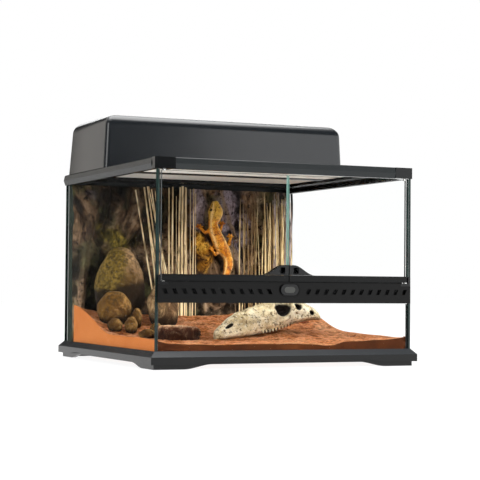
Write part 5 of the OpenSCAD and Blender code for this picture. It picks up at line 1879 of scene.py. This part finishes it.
@dataclass(frozen=True)
class SkullHide:
    """A cast animal skull that lies on the sand as a hide, its rear raised off the sand."""

    tip: tuple[float, float] = (-56.0, -66.0)
    length: float = 204.0
    turn: float = 24.0
    rows: int = 190
    cols: int = 150
    rear_lift: float = 21.0
    lift_from: float = 0.42
    waist: float = 0.3
    rim_height: float = 0.06
    rim_fall: tuple[float, float] = (1.6, 1.7)
    rimmed: int = 2
    cheek_height: float = 0.05
    cheek_at: tuple[float, float] = (0.3, 118.0)
    cheek_half: tuple[float, float] = (0.25, 12.0)
    pits: tuple[float, float] = (0.035, 0.02)
    sunk: float = 0.8
    brown_reach: float = 9.0
    sections: tuple[tuple[float, float, float], ...] = (
        (0, 7, 55), (0.04, 12, 62), (0.12, 17, 75), (0.2, 21, 84), (0.3, 25, 91),
        (0.42, 30, 98), (0.54, 35, 104), (0.66, 39, 107), (0.76, 40, 106), (0.85, 36, 101),
        (0.92, 28, 94), (0.97, 20, 86), (1, 12, 80))
    sockets: tuple[Socket, ...] = (
        Socket(0.59, 40, 0.07, 30, 0.5), Socket(0.725, 37, 0.034, 17, 0.32),
        Socket(0.105, 30, 0.034, 10, 0.16), Socket(0.86, 12, 0.03, 10, 0.22))
    teeth: int = 9
    teeth_from: float = 0.4
    teeth_to: float = 0.63
    teeth_angle: float = 214.0
    tooth: float = 5.0
    tooth_radii: tuple[float, ...] = (1.9, 1.8, 0.7)
    gap_radii: tuple[float, ...] = (1.0, 0.7)

    def at(self, t: float) -> tuple[float, float]:
        """Half width and crown height at a share of the length."""
        for (t0, w0, z0), (t1, w1, z1) in zip(self.sections, self.sections[1:]):
            if t <= t1:
                s = (t - t0) / (t1 - t0)
                return lerp(w0, w1, s), lerp(z0, z1, s)
        return self.sections[-1][1], self.sections[-1][2]

    def middle(self, t: float) -> tuple[float, float, float]:
        """Middle of the skull at a share of its length, and the height of its lower edge."""
        x, y = self.tip[0] + self.length * t, self.tip[1] + self.turn * t
        lift = self.rear_lift * ease((t - self.lift_from) / 0.6)
        return x, y, LAND.sand(x, y) + LAND.lay + lift

    def point(self, t: float, a: float) -> tuple[Point, float, float]:
        """One point of the skull.

        Args:
            t: Share of the length.
            a: Angle round the middle in degrees, from the far side over the crown.

        Returns:
            The point, its share of a hollow, and its share of brown, which also paints shade in the
            dents.
        """
        width, crown = self.at(t)
        x, yc, edge = self.middle(t)
        hollow, k = 0.0, 1.0
        if 90 < a < 270:
            for socket in self.sockets:
                share = socket.at(t, 180 - a)
                hollow = max(hollow, share)
                k -= socket.depth * share
            rim = max(o.at(t, 180 - a, *self.rim_fall) for o in self.sockets[:self.rimmed])
            k += self.rim_height * rim * (1 - hollow)
            k += self.cheek_height * bell((t - self.cheek_at[0]) / self.cheek_half[0],
                                          (a - self.cheek_at[1]) / self.cheek_half[1])
        place = (t * 200, cosd(a) * 40, sind(a) * 40)
        rough = grain(*place, 20, 5)
        k += (self.pits[0] * rough + self.pits[1] * grain(*place, 5, 3)) - 0.03
        mid = edge + (crown - edge) * self.waist
        y = yc + width * cosd(a) * k
        z = mid + ((crown - mid) * max(0.0, sind(a)) ** 0.8 * k if a < 180
                   else (mid - edge) * sind(a))
        z = max(z, LAND.sand(x, y) - self.sunk)
        # Browner towards the lower edge, and in the dents as painted shade.
        wash = 0.6 * ease((edge + self.brown_reach - z) / 10) + 0.3 * ease(-rough / 0.5)
        return (x, y, z), hollow, min(0.8, wash)

    def build(self) -> None:
        """Make the skull and put it in its node's place."""
        rings: list[list[Point]] = []
        marks: dict[str, list[float]] = {"hollow": [], "wash": []}
        for j in range(self.rows + 1):
            ring = []
            for i in range(self.cols):
                point, hollow, wash = self.point(j / self.rows, 360 * i / self.cols)
                ring.append(point)
                marks["hollow"].append(hollow)
                marks["wash"].append(wash)
            rings.append(ring)
        form = Form()
        form.loft(rings, **marks)
        self.add_teeth(form)
        install(form.make("cast_skull", [BONE], 60), "tank", "bone", "skull_hide")

    def add_teeth(self, form: Form) -> None:
        """Add the row of teeth under the near edge of the jaw, with near-black rods between them as
        painted shade.
        """
        for n in range(self.teeth):
            t = lerp(self.teeth_from, self.teeth_to, n / (self.teeth - 1))
            (x, y, z), _, _ = self.point(t, self.teeth_angle)
            long = self.tooth - 1.6 * abs(2 * n / (self.teeth - 1) - 1)
            path = [(x, y, z + 3), (x, y - 1.4, z), (x + 0.6, y - 1.6, z - long)]
            form.tube(path, self.tooth_radii, 8, wash=[0.2, 0.0, 0.1], hollow=[0.0, 0.0, 0.0])
            gap = x + self.length * (self.teeth_to - self.teeth_from) / (self.teeth - 1) / 2
            # Near-black rod in the gap: painted shade.
            form.tube([(gap, y - 0.6, z + 1), (gap, y - 1.2, z - 3.5)], self.gap_radii, 6,
                      hollow=[1.0, 1.0])


# ---- gecko --------------------------------------------------------------------------------


def on_rock(x: float, z: float, off: float) -> Point:
    """Point at a distance in front of the rock's face."""
    return (x, LAND.rock(x, z) - off, z)


@dataclass(frozen=True)
class Gecko:
    """A gecko clinging to the rock."""

    spine: tuple[tuple[float, float, float], ...] = (
        (46, 285, 5), (47, 276, 10), (48, 266, 14), (46, 254, 12), (43, 243, 9), (44, 230, 11),
        (49, 217, 12), (56, 204, 12.5), (65, 194, 11.5), (72, 184, 9), (75, 172, 9),
        (73, 158, 8), (69, 146, 5.5), (66, 138, 2.5))
    limbs: tuple[tuple[tuple[float, float], ...], ...] = (
        ((38, 232), (28, 226), (20, 236)), ((50, 232), (60, 230), (66, 243)),
        ((60, 196), (46, 186), (38, 195)), ((66, 200), (78, 206), (83, 219)))
    stand: float = 12.0
    back_lift: float = 3.0
    voxel: float = 1.0
    body_flat: float = 0.86
    limb_radii: tuple[float, ...] = (4.8, 3.6, 2.6)
    knee_in: float = 4.0
    foot_off: float = 4.4
    toes: int = 4
    toe_length: float = 7.5
    toe_spread: float = 50.0
    toe_start: float = 15.0
    toe_off: float = 3.0
    toe_radii: tuple[float, ...] = (1.9, 1.5)
    eye_x: float = 48.0
    eye_z: float = 268.0
    eye_gap: float = 11.5

    def smooth_spine(self) -> tuple[list[Point], list[float]]:
        """Finer points along the spine, and their radii."""
        path, radii = [], []
        pts = self.spine
        for i in range(len(pts) - 1):
            p0, p1 = pts[max(0, i - 1)], pts[i]
            p2, p3 = pts[i + 1], pts[min(len(pts) - 1, i + 2)]
            for k in range(5):
                t = k / 5
                v = [0.5 * (2 * b + (c - a) * t + (2 * a - 5 * b + 4 * c - d) * t * t
                            + (3 * b - a - 3 * c + d) * t ** 3)
                     for a, b, c, d in zip(p0, p1, p2, p3)]
                path.append(on_rock(v[0], v[1], self.stand + self.back_lift))
                radii.append(max(1.5, v[2]))
        path.append(on_rock(pts[-1][0], pts[-1][1], self.stand + self.back_lift))
        radii.append(pts[-1][2])
        return path, radii

    def build(self) -> None:
        """Make the gecko and put it in its node's place."""
        form = Form()
        path, radii = self.smooth_spine()
        form.tube(path, radii, 20, flat=self.body_flat)
        for shoulder, knee, foot in self.limbs:
            a = on_rock(*shoulder, self.stand)
            b = on_rock(*knee, self.stand - self.knee_in)
            c = on_rock(*foot, self.foot_off)
            form.tube([a, b, c], self.limb_radii, 12)
            for k in range(self.toes):
                turn = k * self.toe_spread + self.toe_start
                toe = on_rock(foot[0] + self.toe_length * cosd(turn),
                              foot[1] + self.toe_length * sind(turn), self.toe_off)
                form.tube([c, toe], self.toe_radii, 8)
        piece = form.make("climbing_gecko", [SKIN], None)
        remesh = piece.modifiers.new("join", "REMESH")
        remesh.mode = "VOXEL"
        remesh.voxel_size = self.voxel * MM
        relax = piece.modifiers.new("relax", "SMOOTH")
        relax.factor = 0.5
        relax.iterations = 3
        apply_modifiers(piece)
        piece.data.materials.clear()
        piece.data.materials.append(SKIN.material())
        piece.data.shade_smooth()
        self.mark(piece.data)
        install(piece, "tank", "gecko", "gecko_figure")

    def mark(self, mesh: bpy.types.Mesh) -> None:
        """Store the eyes, the pale side stripes and the head on the skin's points."""
        eyes = [Vector(on_rock(self.eye_x + side.value * self.eye_gap, self.eye_z, self.stand + 7))
                for side in Side]
        path, radii = self.smooth_spine()
        spine = [(Vector(c), r) for c, r in zip(path, radii)]
        marks: dict[str, list[float]] = {"eye": [], "stripe": [], "head": []}
        for vertex in mesh.vertices:
            p = Vector(vertex.co) / MM
            near = min((p - e).length for e in eyes)
            marks["eye"].append(ease((3.2 - near) / 0.8))
            marks["head"].append(ease((p.z - 246) / 10))
            centre, radius = min(spine, key=lambda c: (c[0] - p).length)
            out = abs((p - centre).x) / radius
            lift = (centre.y - p.y) / radius
            marks["stripe"].append(0.8 * bell((out - 0.72) / 0.16, (lift - 0.55) / 0.4))
        for name, values in marks.items():
            mesh.attributes.new(name, "FLOAT", "POINT").data.foreach_set("value", values)


# ---- the parts that keep the frame's meshes -------------------------------------------------


@dataclass(frozen=True)
class FrameFinishes:
    """Finishes of the nodes that keep the frame's meshes."""

    plan: tuple[tuple[Finish, tuple[str, ...]], ...] = (
        (FOOT, ("base_frame",)),
        (SATIN, ("left_door_rail", "right_door_rail", "cover_frame",
                 "left_cover_latch", "right_cover_latch", "left_inlet_shutter",
                 "right_inlet_shutter")),
        (RIM, ("top_frame",)),
        (STRIP, ("vent_strip",)),
        (GLOSS, ("upper_hinge_blocks", "lower_hinge_blocks", "left_door_handle",
                 "right_door_handle", "lock_knob", "lock_washer",
                 "cable_gland", "switch_housing", "switch_rocker")),
        (SILICONE, ("silicone_seams",)),
        (CLEAR, ("left_door_shoe", "right_door_shoe")),
        (STEEL, ("left_door_pins", "right_door_pins", "lock_shaft")),
        (BLACKENED, ("latch_keepers",)),
        (PLATE, ("lock_plate",)),
        (VENT, ("vent_screens",)),
        (REFLECTOR, ("hood_reflector",)),
        (CERAMIC, ("left_lamp_holder", "right_lamp_holder")),
        (FROSTED, ("left_lamp", "right_lamp")),
    )

    def build(self, frame: dict) -> None:
        """Give each node its finish."""
        for finish, nodes in self.plan:
            dress(frame, finish, *nodes)


def main() -> None:
    """Load the frame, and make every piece."""
    logging.basicConfig(level=logging.INFO, format="%(message)s")
    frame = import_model()
    PhotoCamera().place()
    Studio().build()
    FrameFinishes().build(frame)
    Glazing().build()
    Seals().build()
    WovenScreen().build()
    CrossBar().build()
    HoodSkin().build()
    SandBed().build()
    RockWall().build()
    Stones().build()
    Canes().build()
    SkullHide().build()
    Gecko().build()


if __name__ == "__main__":
    main()
